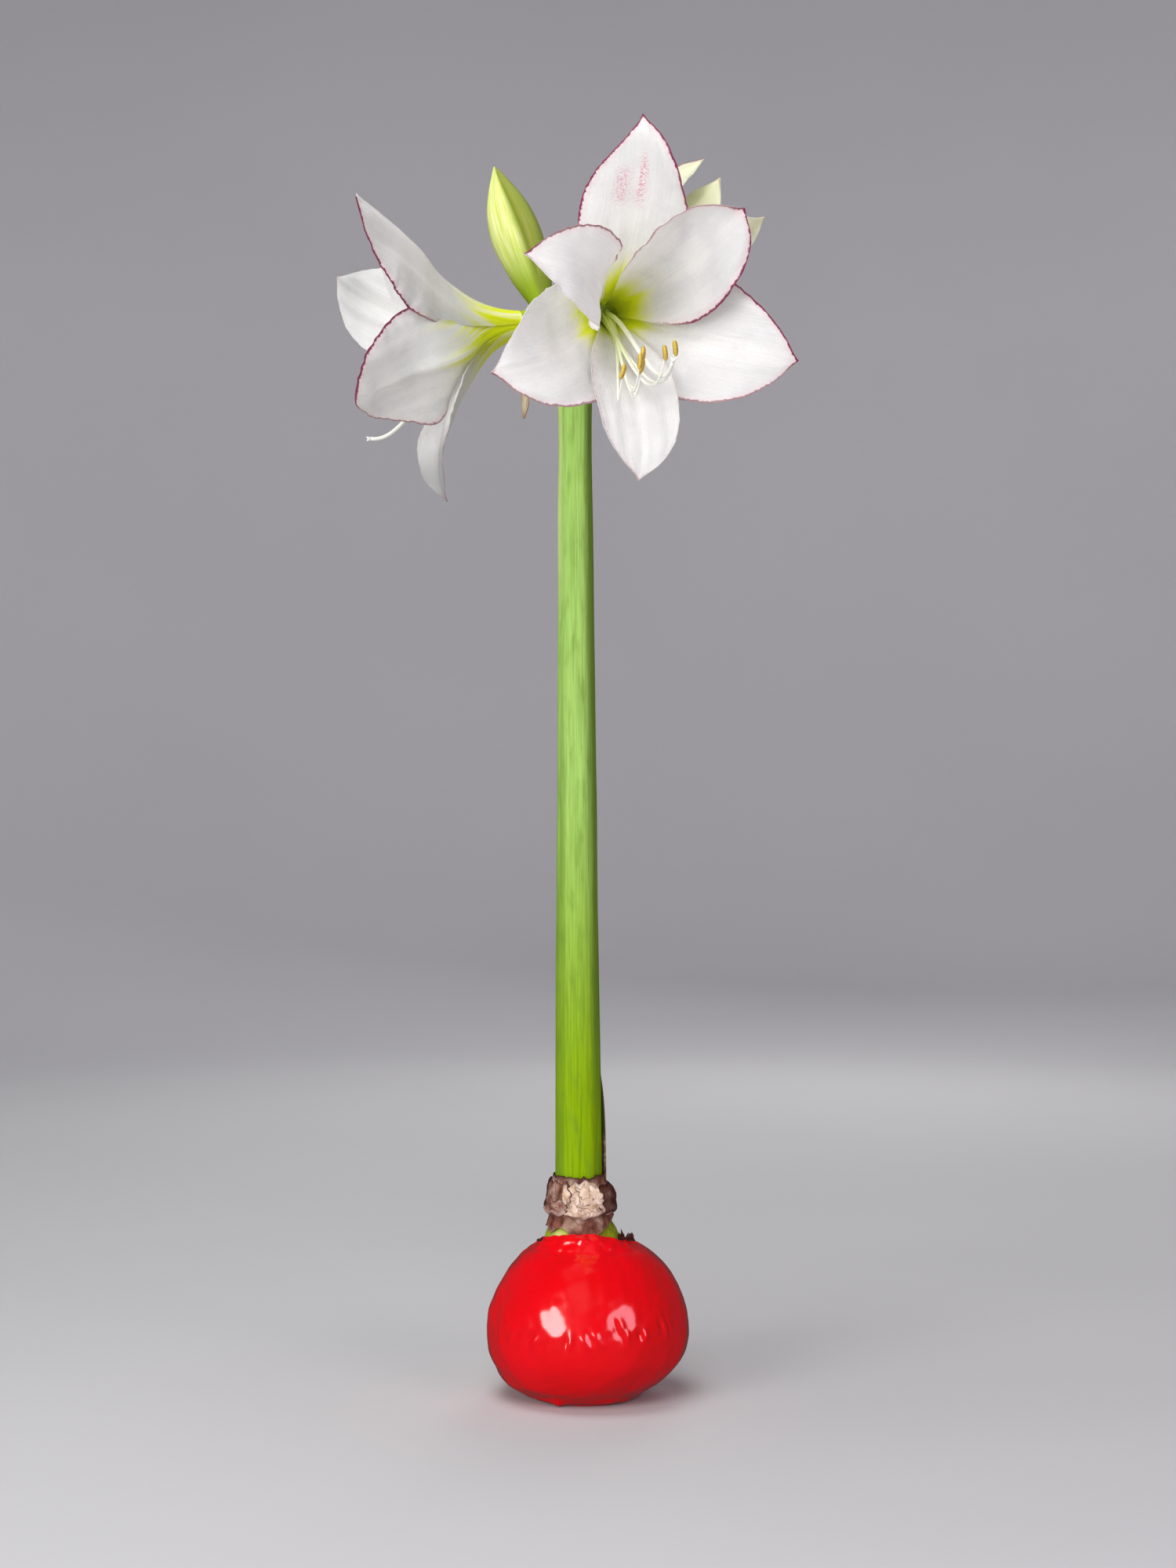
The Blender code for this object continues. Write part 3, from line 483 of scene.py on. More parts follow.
def add_lathe(name, rings, material, replaces, layers):
    """A closed skin of rings, each layer holding its values over them."""
    spread = {key: lathe_layer(values, rings) for key, values in layers.items()}
    add_piece(name, lathe_shape(rings), material, replaces, spread)


def tube_rings(line, radii, sides, lobes=0.0):
    """Rings round a line of points, each with its own radius. lobes: depth of their three ridges."""
    line = np.asarray(line, float)
    heading = np.gradient(line, axis=0)
    side = unit(np.cross(heading[0], (0.3, -1.0, 0.2)))
    turn = full_turn(sides)
    rings = []
    for place, way, radius in zip(line, heading, radii):
        way = unit(way)
        side = unit(side - way * np.dot(side, way))
        across = np.cross(way, side)
        reach = radius * (1 + lobes * np.cos(3 * turn))
        rings.append(place + reach[:, None] * (np.cos(turn)[:, None] * side + np.sin(turn)[:, None] * across))
    return np.array(rings)


def join_shapes(shapes):
    """One list of points and faces from several."""
    points = []
    faces = []
    shift = 0
    for some_points, some_faces in shapes:
        points.append(np.asarray(some_points, float))
        faces += [[corner + shift for corner in face] for face in some_faces]
        shift += len(some_points)
    return np.concatenate(points), faces


# Material helpers


class Paint:
    """A Principled material: short calls for the nodes that feed it, and its base colour laid on in coats."""

    def __init__(self, name, **values):
        self.material = bpy.data.materials.new(name)
        self.material.use_nodes = True
        self.tree = self.material.node_tree
        self.shader = self.tree.nodes["Principled BSDF"]
        self.base = None
        for socket, value in values.items():
            self.shader.inputs[socket.replace("_", " ")].default_value = value

    def node(self, kind, inputs, **settings):
        made = self.tree.nodes.new("ShaderNode" + kind)
        for key, value in settings.items():
            setattr(made, key, value)
        for key, value in inputs.items():
            self.feed(made.inputs[key], value)
        return made

    def feed(self, socket, value):
        if isinstance(value, bpy.types.NodeSocket):
            self.tree.links.new(value, socket)
        elif isinstance(value, tuple) and len(value) == 3 and socket.type == "RGBA":
            socket.default_value = (*value, 1.0)
        else:
            socket.default_value = value

    def layer(self, name):
        return self.node("Attribute", {}, attribute_name=name).outputs["Fac"]

    def stretched(self, vector, stretch):
        return self.node("VectorMath", {0: vector, 1: stretch}, operation="MULTIPLY").outputs["Vector"]

    def tissue(self, across=1.0, along=1.0):
        """Where a point lies on its own sheet, stretched across it and along it."""
        vector = self.node("Attribute", {}, attribute_name="tissue").outputs["Vector"]
        return self.stretched(vector, (across, along, 1.0))

    def place(self, stretch=(1.0, 1.0, 1.0)):
        return self.stretched(self.node("TexCoord", {}).outputs["Object"], stretch)

    def height(self, axis="Z"):
        return self.node("SeparateXYZ", {0: self.place()}).outputs[axis]

    def noise(self, vector, scale=1.0, detail=3.0, roughness=0.5):
        return self.node("TexNoise", {"Vector": vector, "Scale": scale, "Detail": detail,
                                      "Roughness": roughness}).outputs["Fac"]

    def fibres(self, across, along, detail, roughness=0.5, scale=1.0):
        """Noise in the tissue, finer where these two numbers are larger."""
        return self.noise(self.tissue(across, along), scale, detail, roughness)

    def cells(self, vector, scale):
        return self.node("TexVoronoi", {"Vector": vector, "Scale": scale}).outputs["Distance"]

    def span(self, value, low, high, out_low=0.0, out_high=1.0):
        """value from low..high, mapped smoothly to out_low..out_high."""
        return self.node("MapRange", {"Value": value, "From Min": low, "From Max": high, "To Min": out_low,
                                      "To Max": out_high}, interpolation_type="SMOOTHSTEP").outputs["Result"]

    def math(self, how, a, b=0.0):
        return self.node("Math", {0: a, 1: b}, operation=how).outputs[0]

    def mix(self, factor, a, b, how="MIX"):
        made = self.node("Mix", {}, data_type="RGBA", blend_type=how)
        self.feed(made.inputs[0], factor)
        self.feed(made.inputs[6], a)
        self.feed(made.inputs[7], b)
        return made.outputs[2]

    def ground(self, factor, a, b):
        """The first coat of the base colour, between two colours."""
        self.base = self.mix(factor, a, b)

    def coat(self, factor, colour, how="MIX"):
        """One more coat of the base colour, by a factor or by the layer of that name."""
        if isinstance(factor, str):
            factor = self.layer(factor)
        self.base = self.mix(factor, self.base, colour, how)

    def rough(self, value):
        self.feed(self.shader.inputs["Roughness"], value)

    def finish(self, *heights):
        """The material, with its base colour and its bumps given as (height, depth in millimetres)."""
        self.feed(self.shader.inputs["Base Color"], self.base)
        normal = None
        for height, depth in heights:
            inputs = {"Height": height, "Distance": depth * MM, "Strength": 1.0}
            if normal is not None:
                inputs["Normal"] = normal
            normal = self.node("Bump", inputs).outputs["Normal"]
        if normal is not None:
            self.feed(self.shader.inputs["Normal"], normal)
        return self.material


# Materials


def soft(weight, radius, scale=0.002):
    """Shader values of flesh that lets light in."""
    return {"Subsurface_Weight": weight, "Subsurface_Radius": radius, "Subsurface_Scale": scale}


def veined_paint(name, across, along, colours, coats, depth, **values):
    """Paint with raised veins between two colours, and one coat for each layer."""
    paint = Paint(name, **values)
    veins = paint.fibres(across, along, 4.0)
    paint.ground(paint.span(veins, 0.3, 0.7), *colours)
    for layer, colour in coats.items():
        paint.coat(layer, colour)
    return paint.finish((veins, depth))


def wax_paint():
    paint = Paint("wax", Roughness=0.3, Coat_Weight=1.0, Coat_Roughness=0.15, Coat_IOR=1.75,
                  Specular_IOR_Level=0.15, Specular_Tint=(1.0, 0.4, 0.4, 1.0), IOR=1.46,
                  **soft(0.05, (1.0, 0.15, 0.1)))
    place = paint.place(PER_MM)
    paint.ground(paint.noise(place, 0.045, 2.0), (0.69, 0.0, 0.0), (0.81, 0.0, 0.008))
    speck = paint.span(paint.cells(place, 0.11), 0.035, 0.02)
    paint.coat(paint.math("MULTIPLY", speck, 0.5), (0.25, 0.0, 0.0))
    paint.rough(paint.span(paint.noise(place, 0.4, 4.0), 0.3, 0.7, 0.14, 0.26))
    return paint.finish((paint.noise(place, 0.16, 2.0), 0.5), (paint.noise(place, 1.4, 3.0), 0.05))


def tepal_paint():
    paint = Paint("tepal", Roughness=0.42, Sheen_Weight=0.15, Sheen_Roughness=0.4, IOR=1.4,
                  **soft(0.65, (1.0, 0.95, 0.85), 0.003))
    tissue = paint.tissue()
    veins = paint.fibres(1.1, 0.035, 3.0, 0.55)
    fine_veins = paint.fibres(3.2, 0.12, 2.0)
    paint.ground(paint.span(veins, 0.35, 0.7), (0.83, 0.81, 0.775), (0.88, 0.857, 0.82))
    cloud = paint.noise(tissue, 0.07, 3.0)
    paint.coat(paint.span(cloud, 0.4, 0.7, 0.0, 0.5), (0.67, 0.67, 0.67))
    grain = paint.fibres(1.0, 0.7, 5.0, 0.75, 0.9)
    paint.coat(paint.span(grain, 0.5, 0.72, 0.0, 0.35), (0.62, 0.61, 0.63))
    # Cream green wash: partly the tepals' own colour, partly painted shade on the back bloom
    paint.coat("flush", (0.74, 0.77, 0.42))
    green = paint.math("ADD", paint.layer("green"), paint.span(veins, 0.2, 0.8, -0.06, 0.06))
    streaks = paint.fibres(0.30, 0.010, 2.0, 0.6)
    cut = paint.math("MULTIPLY", paint.layer("streak"), paint.span(streaks, 0.40, 0.60, 0.6, 0.0))
    green = paint.math("MULTIPLY", green, paint.math("SUBTRACT", 1.0, cut))
    paint.coat(paint.span(green, 0.0, 0.55), (0.84, 0.84, 0.40))
    paint.coat(paint.span(green, 0.3, 0.8), (0.74, 0.84, 0.006))
    paint.coat(paint.span(green, 0.85, 1.05, 0.0, 0.3), (0.32, 0.42, 0.004))
    dots = paint.fibres(0.55, 0.95, 4.0, 0.6, 1.2)
    paint.coat(paint.math("MULTIPLY", paint.layer("blush"), paint.span(dots, 0.4, 0.62)), (0.66, 0.17, 0.28))
    # Painted shade: grey laid on the tepals that stand in shadow, strongest towards their tips
    paint.coat("tone", (0.30, 0.30, 0.31))
    ragged = paint.span(paint.noise(tissue, 0.6, 3.0), 0.2, 0.8, -0.45, 0.45)
    edge = paint.math("ADD", paint.layer("edge"), ragged)
    rouge = paint.layer("rouge")
    paint.coat(paint.math("MULTIPLY", paint.span(edge, 4.5, 0.4, 0.0, 0.3), rouge), (0.76, 0.26, 0.38))
    paint.coat(paint.math("MULTIPLY", paint.span(edge, 1.15, 0.55), rouge), (0.15, 0.006, 0.035))
    return paint.finish((veins, 0.16), (fine_veins, 0.10), (paint.cells(tissue, 2.2), 0.05))


def stem_paint(name, low, high, edge, heights):
    """Green of the scape or the stalks, from low to high colour between two heights."""
    paint = Paint(name, Roughness=0.42, Specular_IOR_Level=0.12, IOR=1.42, **soft(0.12, (0.6, 1.0, 0.2)))
    paint.ground(paint.span(paint.height(), heights[0] * MM, heights[1] * MM), low, high)
    streaks = paint.fibres(1.0, 0.03, 4.0)
    mottle = paint.fibres(0.2, 0.06, 3.0)
    paint.coat(paint.span(streaks, 0.35, 0.75, 0.0, 0.35), edge, "MULTIPLY")
    paint.coat(paint.span(mottle, 0.45, 0.8, 0.0, 0.5), edge)
    # On the scape this coat is painted shade on its left and right sides; the stalks get none
    paint.coat("edge", edge)
    # Painted highlight on the scape's left side high up; the stalks get none
    paint.coat("glow", (0.55, 0.68, 0.26))
    return paint.finish((streaks, 0.25), (paint.fibres(2.6, 0.05, 2.0), 0.1))


def shoulder_paint():
    paint = Paint("shoulder", Roughness=0.4, IOR=1.42, **soft(0.15, (0.6, 1.0, 0.2)))
    streaks = paint.noise(paint.place((600, 600, 120)), 1.0, 4.0)
    paint.ground(paint.span(streaks, 0.3, 0.7), (0.22, 0.28, 0.004), (0.36, 0.42, 0.012))
    paint.coat("pale", (0.62, 0.62, 0.20))
    paint.coat("olive", (0.19, 0.11, 0.012))
    return paint.finish((streaks, 0.3))


def tunic_paint():
    """Dry papery skin, from purple brown through tan to cream by the layer pale."""
    paint = Paint("tunic", Roughness=0.62, Specular_IOR_Level=0.3, IOR=1.4)
    fibre = paint.fibres(1.2, 0.25, 5.0, 0.6)
    stain = paint.fibres(0.22, 0.22, 4.0)
    crumple = paint.fibres(0.15, 0.13, 2.5, 0.55)
    crack = paint.math("ABSOLUTE", paint.math("SUBTRACT", crumple, 0.5))
    tan = paint.mix(paint.span(stain, 0.3, 0.7), (0.60, 0.40, 0.26), (0.90, 0.73, 0.62))
    paint.ground(paint.span(stain, 0.35, 0.65), (0.095, 0.026, 0.014), (0.25, 0.088, 0.062))
    paint.coat("pale", tan)
    paint.coat(paint.span(fibre, 0.52, 0.75, 0.0, 0.5), (0.22, 0.10, 0.055))
    paint.coat(paint.span(crack, 0.014, 0.003, 0.0, 0.6), (0.13, 0.045, 0.025))
    # Painted highlight on the curled and torn edges of the bands and flakes
    paint.coat("lip", (0.60, 0.42, 0.40))
    # Dark tunic colour: the scraps' and flakes' own darkness, plus painted shade along the edges of the bands
    # and flakes
    paint.coat("dark", (0.05, 0.012, 0.008))
    paint.rough(paint.span(fibre, 0.3, 0.7, 0.45, 0.65))
    return paint.finish((crumple, 2.4), (paint.span(crack, 0.0, 0.03), 0.15), (fibre, 0.2))


def leaf_paint():
    paint = Paint("leaf", Roughness=0.35, Subsurface_Weight=0.1, Subsurface_Scale=0.001, IOR=1.42)
    streaks = paint.fibres(1.5, 0.04, 4.0)
    paint.ground(paint.span(streaks, 0.3, 0.7), (0.035, 0.12, 0.015), (0.09, 0.22, 0.03))
    paint.coat("edge", (0.12, 0.05, 0.02))
    crumble = paint.fibres(0.7, 0.35, 4.0)
    paint.coat("dry", paint.mix(paint.span(crumble, 0.4, 0.6), (0.10, 0.045, 0.025), (0.52, 0.38, 0.22)))
    return paint.finish((streaks, 0.3))


def bud_paint():
    # One coat is painted shade: on the bud's side turned right and towards the camera, and beside its seams
    coats = {"base": (0.30, 0.44, 0.002), "deep": (0.21, 0.26, 0.03), "edge": (0.30, 0.17, 0.07)}
    return veined_paint("bud", 1.3, 0.05, [(0.56, 0.64, 0.12), (0.80, 0.83, 0.38)], coats, 0.3,
                        Roughness=0.4, IOR=1.42, **soft(0.2, (0.8, 1.0, 0.3)))


def stamen_paint():
    paint = Paint("filament", Roughness=0.4, IOR=1.4, **soft(0.25, (1.0, 1.0, 0.7), 0.001))
    paint.ground(paint.layer("green"), (0.88, 0.88, 0.80), (0.72, 0.82, 0.25))
    return paint.finish((paint.noise(paint.place(PER_MM), 1.5, 2.0), 0.08))


def anther_paint():
    paint = Paint("anther", Roughness=0.75, IOR=1.4)
    grain = paint.noise(paint.place(PER_MM), 2.5, 4.0, 0.7)
    paint.ground(paint.span(grain, 0.35, 0.65), (0.55, 0.34, 0.04), (0.92, 0.74, 0.15))
    paint.coat("husk", (0.34, 0.17, 0.05))
    return paint.finish((grain, 0.35))


def bract_paint():
    return veined_paint("bract", 1.4, 0.05, [(0.44, 0.33, 0.21), (0.62, 0.54, 0.38)],
                        {"edge": (0.34, 0.20, 0.13)}, 0.5, Roughness=0.68, Sheen_Weight=0.1, IOR=1.4)


def studio_paint():
    """Floor and wall: paler far behind the plant, and darker towards the camera."""
    paint = Paint("studio", Roughness=0.9, Specular_IOR_Level=0.1)
    depth = paint.height("Y")
    paint.ground(paint.span(depth, 0.0, 1.9), STUDIO_PALE, STUDIO_WHITE)
    paint.coat(paint.span(depth, -0.35, -1.3), STUDIO_DARK)
    paint.coat(paint.span(paint.noise(paint.place(), 1.6, 3.0), 0.3, 0.7, 0.0, 0.06), STUDIO_DARK)
    return paint.finish()


# Wax coat, bulb and neck


def climbing_ring(turn, height, radius, shift, climb=0.0):
    """Points of a level ring whose front climbs and draws in a little."""
    lift = climb * np.clip(-np.sin(turn), 0, None)**CLIMB_POWER
    return polar(radius - DRAW_IN * lift, turn, height + lift, shift)


def crease_relief(turn, height):
    """Depth of the short creases that hang in a row where the coat was dipped twice."""
    draw = np.random.default_rng(7)
    row = CREASE_HEIGHT + CREASE_SLOPE * np.cos(turn) + 1.2 * np.sin(5 * turn + 1) + 0.6 * np.sin(13 * turn)
    relief = 0.12 * smooth_step(-2.5, 2.5, height - row)
    for k in range(CREASES):
        middle = tau * (k + draw.uniform(-0.35, 0.35)) / CREASES
        wide = radians(draw.uniform(1.1, 2.3))
        tall = draw.uniform(2.0, 4.6)
        depth = draw.uniform(0.3, 0.95) * (0.25 + 0.75 * smooth_step(0.35, 0.8, -sin(middle)))
        drop = draw.uniform(-2.5, 1.5)
        slant = draw.uniform(-0.5, 0.5)
        away = angle_past(turn, middle) - np.radians(slant * (height - row))
        dent = hump(away, 0, wide) * hump(height - row, drop, tall)
        beside = hump(away, 1.7 * wide, wide) * hump(height - row - drop, -1, tall)
        relief += depth * (0.8 * beside - dent)
    return relief


def wax_relief(skin, turn, run):
    """How far the wax stands out: its dents, its creases, the roll under its rim and the lip of its foot."""
    level = skin[..., 2]
    relief = 0.28 * ripples(skin, 22, 3) + 0.10 * ripples(skin, 7, 4)
    relief = relief + crease_relief(turn, level)
    near_rim = smooth_step(62, 74, level + 4 * np.clip(np.sin(turn), 0, 1))
    relief = relief + near_rim * (0.3 * ripples(skin, 6, 5) + 0.15 * ripples(skin, 3, 6))
    roll = hump(run, 0.925, 0.014) - 0.5 * hump(run, 0.885, 0.014)
    relief = relief + roll * (0.8 + 0.3 * ripples(skin, 5, 11)) * smooth_step(-0.2, 0.5, -np.sin(turn))
    foot_lip = hump(level, 2.2, 1.8)
    drip = hump(angle_past(turn, radians(DRIP_TURN)), 0, radians(4))
    front = smooth_step(0.5, 0.9, -np.sin(turn))
    relief = relief + foot_lip * (0.1 + front * (0.4 + 0.25 * ripples(skin, 9, 8)) + 1.2 * drip)
    relief = relief - 0.4 * front * smooth_step(9, 2, level) * (1 - foot_lip)
    return relief * smooth_step(-0.1, 1.2, level)


def make_wax_coat():
    turn = full_turn(WAX_COLUMNS)
    profile = np.array([(*ring, 0.0) for ring in WAX_RINGS] + [WAX_COLLAR, WAX_RIM], float)
    place = np.concatenate([[0], np.cumsum(np.hypot(*np.diff(profile[:, :2], axis=0).T))])
    place /= place[-1]

    def profile_at(s):
        return [curve_value(place, profile[:, k], s) for k in range(4)]

    skin = np.array([climbing_ring(turn, *values) for values in zip(*profile_at(shares(170)))])
    height, radius, shift, climb = WAX_RIM
    rounding = []
    for angle in pi * shares(12)[1:]:
        rise, inset = WAX_ROUND * sin(angle), WAX_ROUND * (1 - cos(angle))
        rounding.append(climbing_ring(turn, height + rise, radius - inset, shift, climb))
    skin = np.concatenate([skin, rounding])
    outward = grid_normals(skin, skin - np.array([0, 0, CREASE_HEIGHT]))
    run = shares(len(skin))[:, None]
    skin = skin + outward * wax_relief(skin, turn[None], run)[..., None]
    wobble = 0.3 * ripples(skin, 8, 9) + 0.2 * ripples(skin, 4, 10)
    skin[..., 2] += wobble * smooth_step(0.86, 0.93, run)
    skin[..., 2] = np.clip(skin[..., 2], 0, None)
    inner = []
    for share in shares(26)[1:]:
        height, radius, shift, climb = profile_at(1 - share)
        inner.append(climbing_ring(turn, max(height, WAX_FLOOR), radius - WAX_THICKNESS - 0.6, shift, climb))
    add_lathe("wax_skin", np.concatenate([skin, inner]), wax_paint(), ["wax_coat"], {})


def make_bulb():
    turn = full_turn(BULB_COLUMNS)
    rings = [climbing_ring(turn, 4.0, 22.0, -2.5)]
    rings += [climbing_ring(turn, z, r - WAX_THICKNESS - 1.2, x) for z, r, x in WAX_RINGS[3:-1]]
    top = BULB_RINGS[-1][0]
    for height in np.linspace(BULB_RINGS[0][0], top, 60):
        rings.append(climbing_ring(turn, height, table_value(BULB_RINGS, height) - 0.3,
                                   table_value(BULB_RINGS, height, 2)))
    skin = np.array(rings)
    level = skin[..., 2]
    around = np.broadcast_to(turn, level.shape)
    lobe = hump(around, radians(232), radians(16)) * hump(level, 74, 3.2)
    scales = 0.35 * np.sin(3 * around + 0.6) + 0.25 * ripples(skin, 9, 21)
    skin = skin + polar(1, around, 0) * ((scales + lobe) * smooth_step(64, 70, level))[..., None]
    olive = 0.55 * smooth_step(20, 60, -np.degrees(angle_past(around, radians(215))))
    rim = skin[-1] * np.array([1, 1, 0]) + np.array([0, 0, top])
    middle = np.array([SCAPE_FOOT[0], 0, 0])
    mouth = middle + (rim - middle) * np.array([0.86, 0.86, 1])
    rings = np.concatenate([skin, [mouth], [mouth - np.array([0, 0, 16.0])]])
    bare = np.zeros((2, BULB_COLUMNS))
    layers = {"pale": np.concatenate([np.clip(lobe * 1.2, 0, 1), bare]),
              "olive": np.concatenate([olive, bare])}
    add_lathe("bulb_shoulder", rings, shoulder_paint(), ["bulb"], layers)


def make_band(band, paint):
    """A papery ring round the neck, its edges torn and its skin in soft upright folds."""
    turn = full_turn(240)
    share = shares(30)[:, None]
    circle = NECK_RADIUS * points_at(np.cos(turn), np.sin(turn))
    high = band.rings[-1][0] + band.tear * (0.8 * ripples(circle, 9, band.seed)
                                            + 0.5 * ripples(circle, 3, band.seed + 1))
    low = band.rings[0][0] + 0.4 * band.tear * ripples(circle, 6, band.seed + 2)
    if band.gone:
        low = low + table_value(band.gone, np.degrees(angle_past(turn)))
    level = low + (high - low) * share
    spots = polar(NECK_RADIUS, turn, level)
    tall = spots * np.array([1, 1, 0.25])
    folds = 0.16 * ripples(tall, 6, band.seed + 3) + 0.08 * ripples(spots, 3.0, band.seed + 4)
    reach = table_value(band.rings, level) - 0.35 + folds + 0.3 * fade(share, 0.08)
    outer = polar(reach, turn, level, table_value(band.rings, level, 2))
    inner = (outer - 0.5 * polar(1, turn, 0 * level))[::-1]
    rows, columns = level.shape
    faces = grid_faces(2 * rows, columns, closed=True)
    last = (2 * rows - 1) * columns
    for k in range(columns):
        nxt = (k + 1) % columns
        faces.append([last + k, last + nxt, nxt, k])
    layers = {
        "tissue": points_at(NECK_RADIUS * turn, level, band.seed),
        "pale": np.clip(band.pale + 0.25 * ripples(spots, 7, band.seed + 5), 0, 1),
        # Painted shade along the band's upper edge
        "dark": fade(1 - share, 0.09) + 0 * level,
        # Painted highlight along both edges of the band
        "lip": 0.12 * (fade(share, 0.06) + fade(1 - share, 0.06)) + 0 * level,
    }
    layers = {key: flat_layer(np.concatenate([values, values[::-1]]), np.concatenate([outer, inner]))
              for key, values in layers.items()}
    shape = (np.concatenate([outer, inner]).reshape(-1, 3), faces)
    add_piece(band.name, shape, paint, [band.node], layers)


def make_flake(flake, paint):
    a = shares(30)[:, None]
    b = shares(60)[None, :]
    seed, tear = flake.seed, flake.tear
    corner = 6 * 0.16 * np.abs(2 * b - 1)**4
    across = points_at(b[0] * 9, 0)
    climb = points_at(a[:, 0] * 9, 0)
    bottom = flake.height[0] + tear * 0.7 * ripples(across, 3.2, seed) + corner
    top = flake.height[1] + tear * ripples(across, 2.4, seed + 50) - corner
    left = flake.turn[0] + 3.5 * tear * ripples(climb, 3.0, seed + 60)
    right = flake.turn[1] + 3.5 * tear * ripples(climb, 3.0, seed + 70)
    turn = np.radians(left[:, None] + (right - left)[:, None] * b)
    level = bottom + (top - bottom) * a
    spots = polar(NECK_RADIUS, turn, level)
    folds = 0.28 * ripples(spots * np.array([1, 1, 0.5]), 7, seed + 80)
    folds = folds + 0.14 * np.abs(ripples(spots, 3.5, seed + 81))
    curl = flake.curl * (hump(a, 0.14, 0.14) - 0.5 * fade(a, 0.05))
    curl = curl + 0.3 * fade(1 - b, 0.04) + 0.25 * fade(b, 0.04)
    reach = table_value(UPPER_RINGS, level) + flake.lift - 0.3 + folds + curl - 0.25 * smooth_step(0.8, 1, a)
    grid = polar(reach, turn, level, table_value(UPPER_RINGS, level, 2))
    # The flake's own darkness, plus painted shade along all four of its edges
    dark = flake.dark + 0.9 * fade(1 - a, 0.04) + 0.8 * fade(1 - b, 0.015) + 0.8 * fade(b, 0.015)
    layers = {
        "tissue": points_at(15 * turn, level, seed),
        "pale": np.clip(flake.pale + 0.18 * ripples(spots, 5, seed + 82), 0, 1),
        # Painted highlight on the curled lower edge and along the right edge
        "lip": flake.lip * hump(a, 0.12, 0.12) + 0.5 * flake.lip * hump(b, 0.95, 0.03),
        "dark": np.clip(dark + 0.9 * fade(a, 0.02), 0, 1),
    }
    add_sheet("tunic_" + flake.name, grid, grid_normals(grid, polar(1, turn, 0)), FLAKE_THICKNESS, paint,
              (), layers)


def make_scrap(paint):
    """Dark spiky scraps of tunic that stand out of the rim at the right and at the left."""
    shapes = []
    draw = np.random.default_rng(12)
    spots = [(14.6 + 1.45 * k, -6.6 + 0.5 * k, 71.4 - 0.12 * k, draw.uniform(3.4, 5.8)) for k in range(5)]
    spots += [(19.6, -3.4, 70.8, 3.0), (-21.6, -4.2, 70.9, 2.0), (-22.6, -3.2, 70.6, 1.4)]
    for x, y, z, high in spots:
        s = shares(9)[:, None]
        u = np.linspace(-1, 1, 7)[None, :]
        half = (1 - s)**0.7 * (1 + 0.25 * np.sin(9 * s + x)) + 0.03
        lean = draw.uniform(-0.25, 0.35)
        back = 0.5 * (u * half)**2 - 0.6 * s * draw.uniform(0, 1)
        grid = points_at(x + half * u + lean * high * s**1.5, y + back, z + high * s)
        normals = grid_normals(grid, np.broadcast_to([0.1, -1.0, 0.1], grid.shape))
        shapes.append(sheet_shape(grid, normals, 0.45))
    points, faces = join_shapes(shapes)
    none = np.zeros(len(points))
    layers = {"tissue": points, "pale": none, "lip": none, "dark": none + 0.9}
    add_piece("tunic_scraps", (points, faces), paint, ["tunic_scrap"], layers)


# Scape and leaf


def make_scape():
    turn = full_turn(96)
    s = shares(200)[:, None]
    foot, head = np.array(SCAPE_FOOT), np.array(SCAPE_HEAD)
    spots = polar(10, turn, s * 24)
    ridge = 0.18 * np.cos(6 * turn)[None] + 0.10 * ripples(spots, 5, 41) + 0.05 * ripples(spots, 2, 42)
    skin = (foot + s * (head - foot))[:, None] + polar(table_value(SCAPE_RADII, s) + ridge, turn, 0)
    crown = [head + (0, 0, SCAPE_CROWN) + (skin[-1] - head) * share for share in (0.97, 0.7, 0.35)]
    skin = np.concatenate([skin, crown])
    level = skin[..., 2]
    around = np.degrees(np.broadcast_to(turn, level.shape))
    # Painted shade on the scape's left side low down and on its right side, laid on through the layer edge
    painted_shade_left = smooth_step(240, 228, around) * smooth_step(150, 178, around) * smooth_step(360, 230, level)
    painted_shade_right = 0.9 * smooth_step(296, 336, around) * smooth_step(110, 180, level)
    # Painted highlight along the scape's left side high up
    glow = smooth_step(228, 200, around) * smooth_step(150, 180, around) * smooth_step(330, 400, level)
    layers = {"edge": 0.4 * painted_shade_left + painted_shade_right, "glow": 0.7 * glow,
              "tissue": points_at(10 * np.radians(around), level, 0.0)}
    paint = stem_paint("scape", (0.25, 0.41, 0.0), (0.35, 0.56, 0.13), (0.13, 0.23, 0.02), (130, 300))
    add_lathe("scape_skin", skin, paint, ["scape"], layers)


def make_young_leaf():
    s = shares(60)[:, None]
    u = np.linspace(-1, 1, 25)[None, :]
    height = LEAF_FOOT + (LEAF_TIP - LEAF_FOOT) * s
    azimuth = np.radians(LEAF_AZIMUTH[0] + (LEAF_AZIMUTH[1] - LEAF_AZIMUTH[0]) * s**2)
    turn = azimuth + radians(LEAF_HALF_SPAN) * (1 - 0.99 * s**2.2) * u
    lean = (SCAPE_HEAD[0] - SCAPE_FOOT[0]) / (SCAPE_HEAD[2] - SCAPE_FOOT[2])
    middle = SCAPE_FOOT[0] + lean * (height - SCAPE_FOOT[2])
    grid = polar(LEAF_RADIUS + 0.12 * np.sin(6 * u) - 0.3 * s**2, turn, height, middle)
    edge = smooth_step(0.78, 0.97, np.abs(u)) + 0.6 * smooth_step(0.85, 1, s)
    layers = {"tissue": points_at(turn * 12, height, 0.0), "edge": np.clip(edge, 0, 1),
              "dry": smooth_step(0.5, 0.4, s)}
    thickness = 0.5 + 0.9 * (1 - np.abs(u)**2) * (1 - 0.6 * s)
    add_sheet("leaf_blade", grid, grid_normals(grid, polar(1, turn, 0)), thickness, leaf_paint(),
              ["young_leaf"], layers)


# Blooms


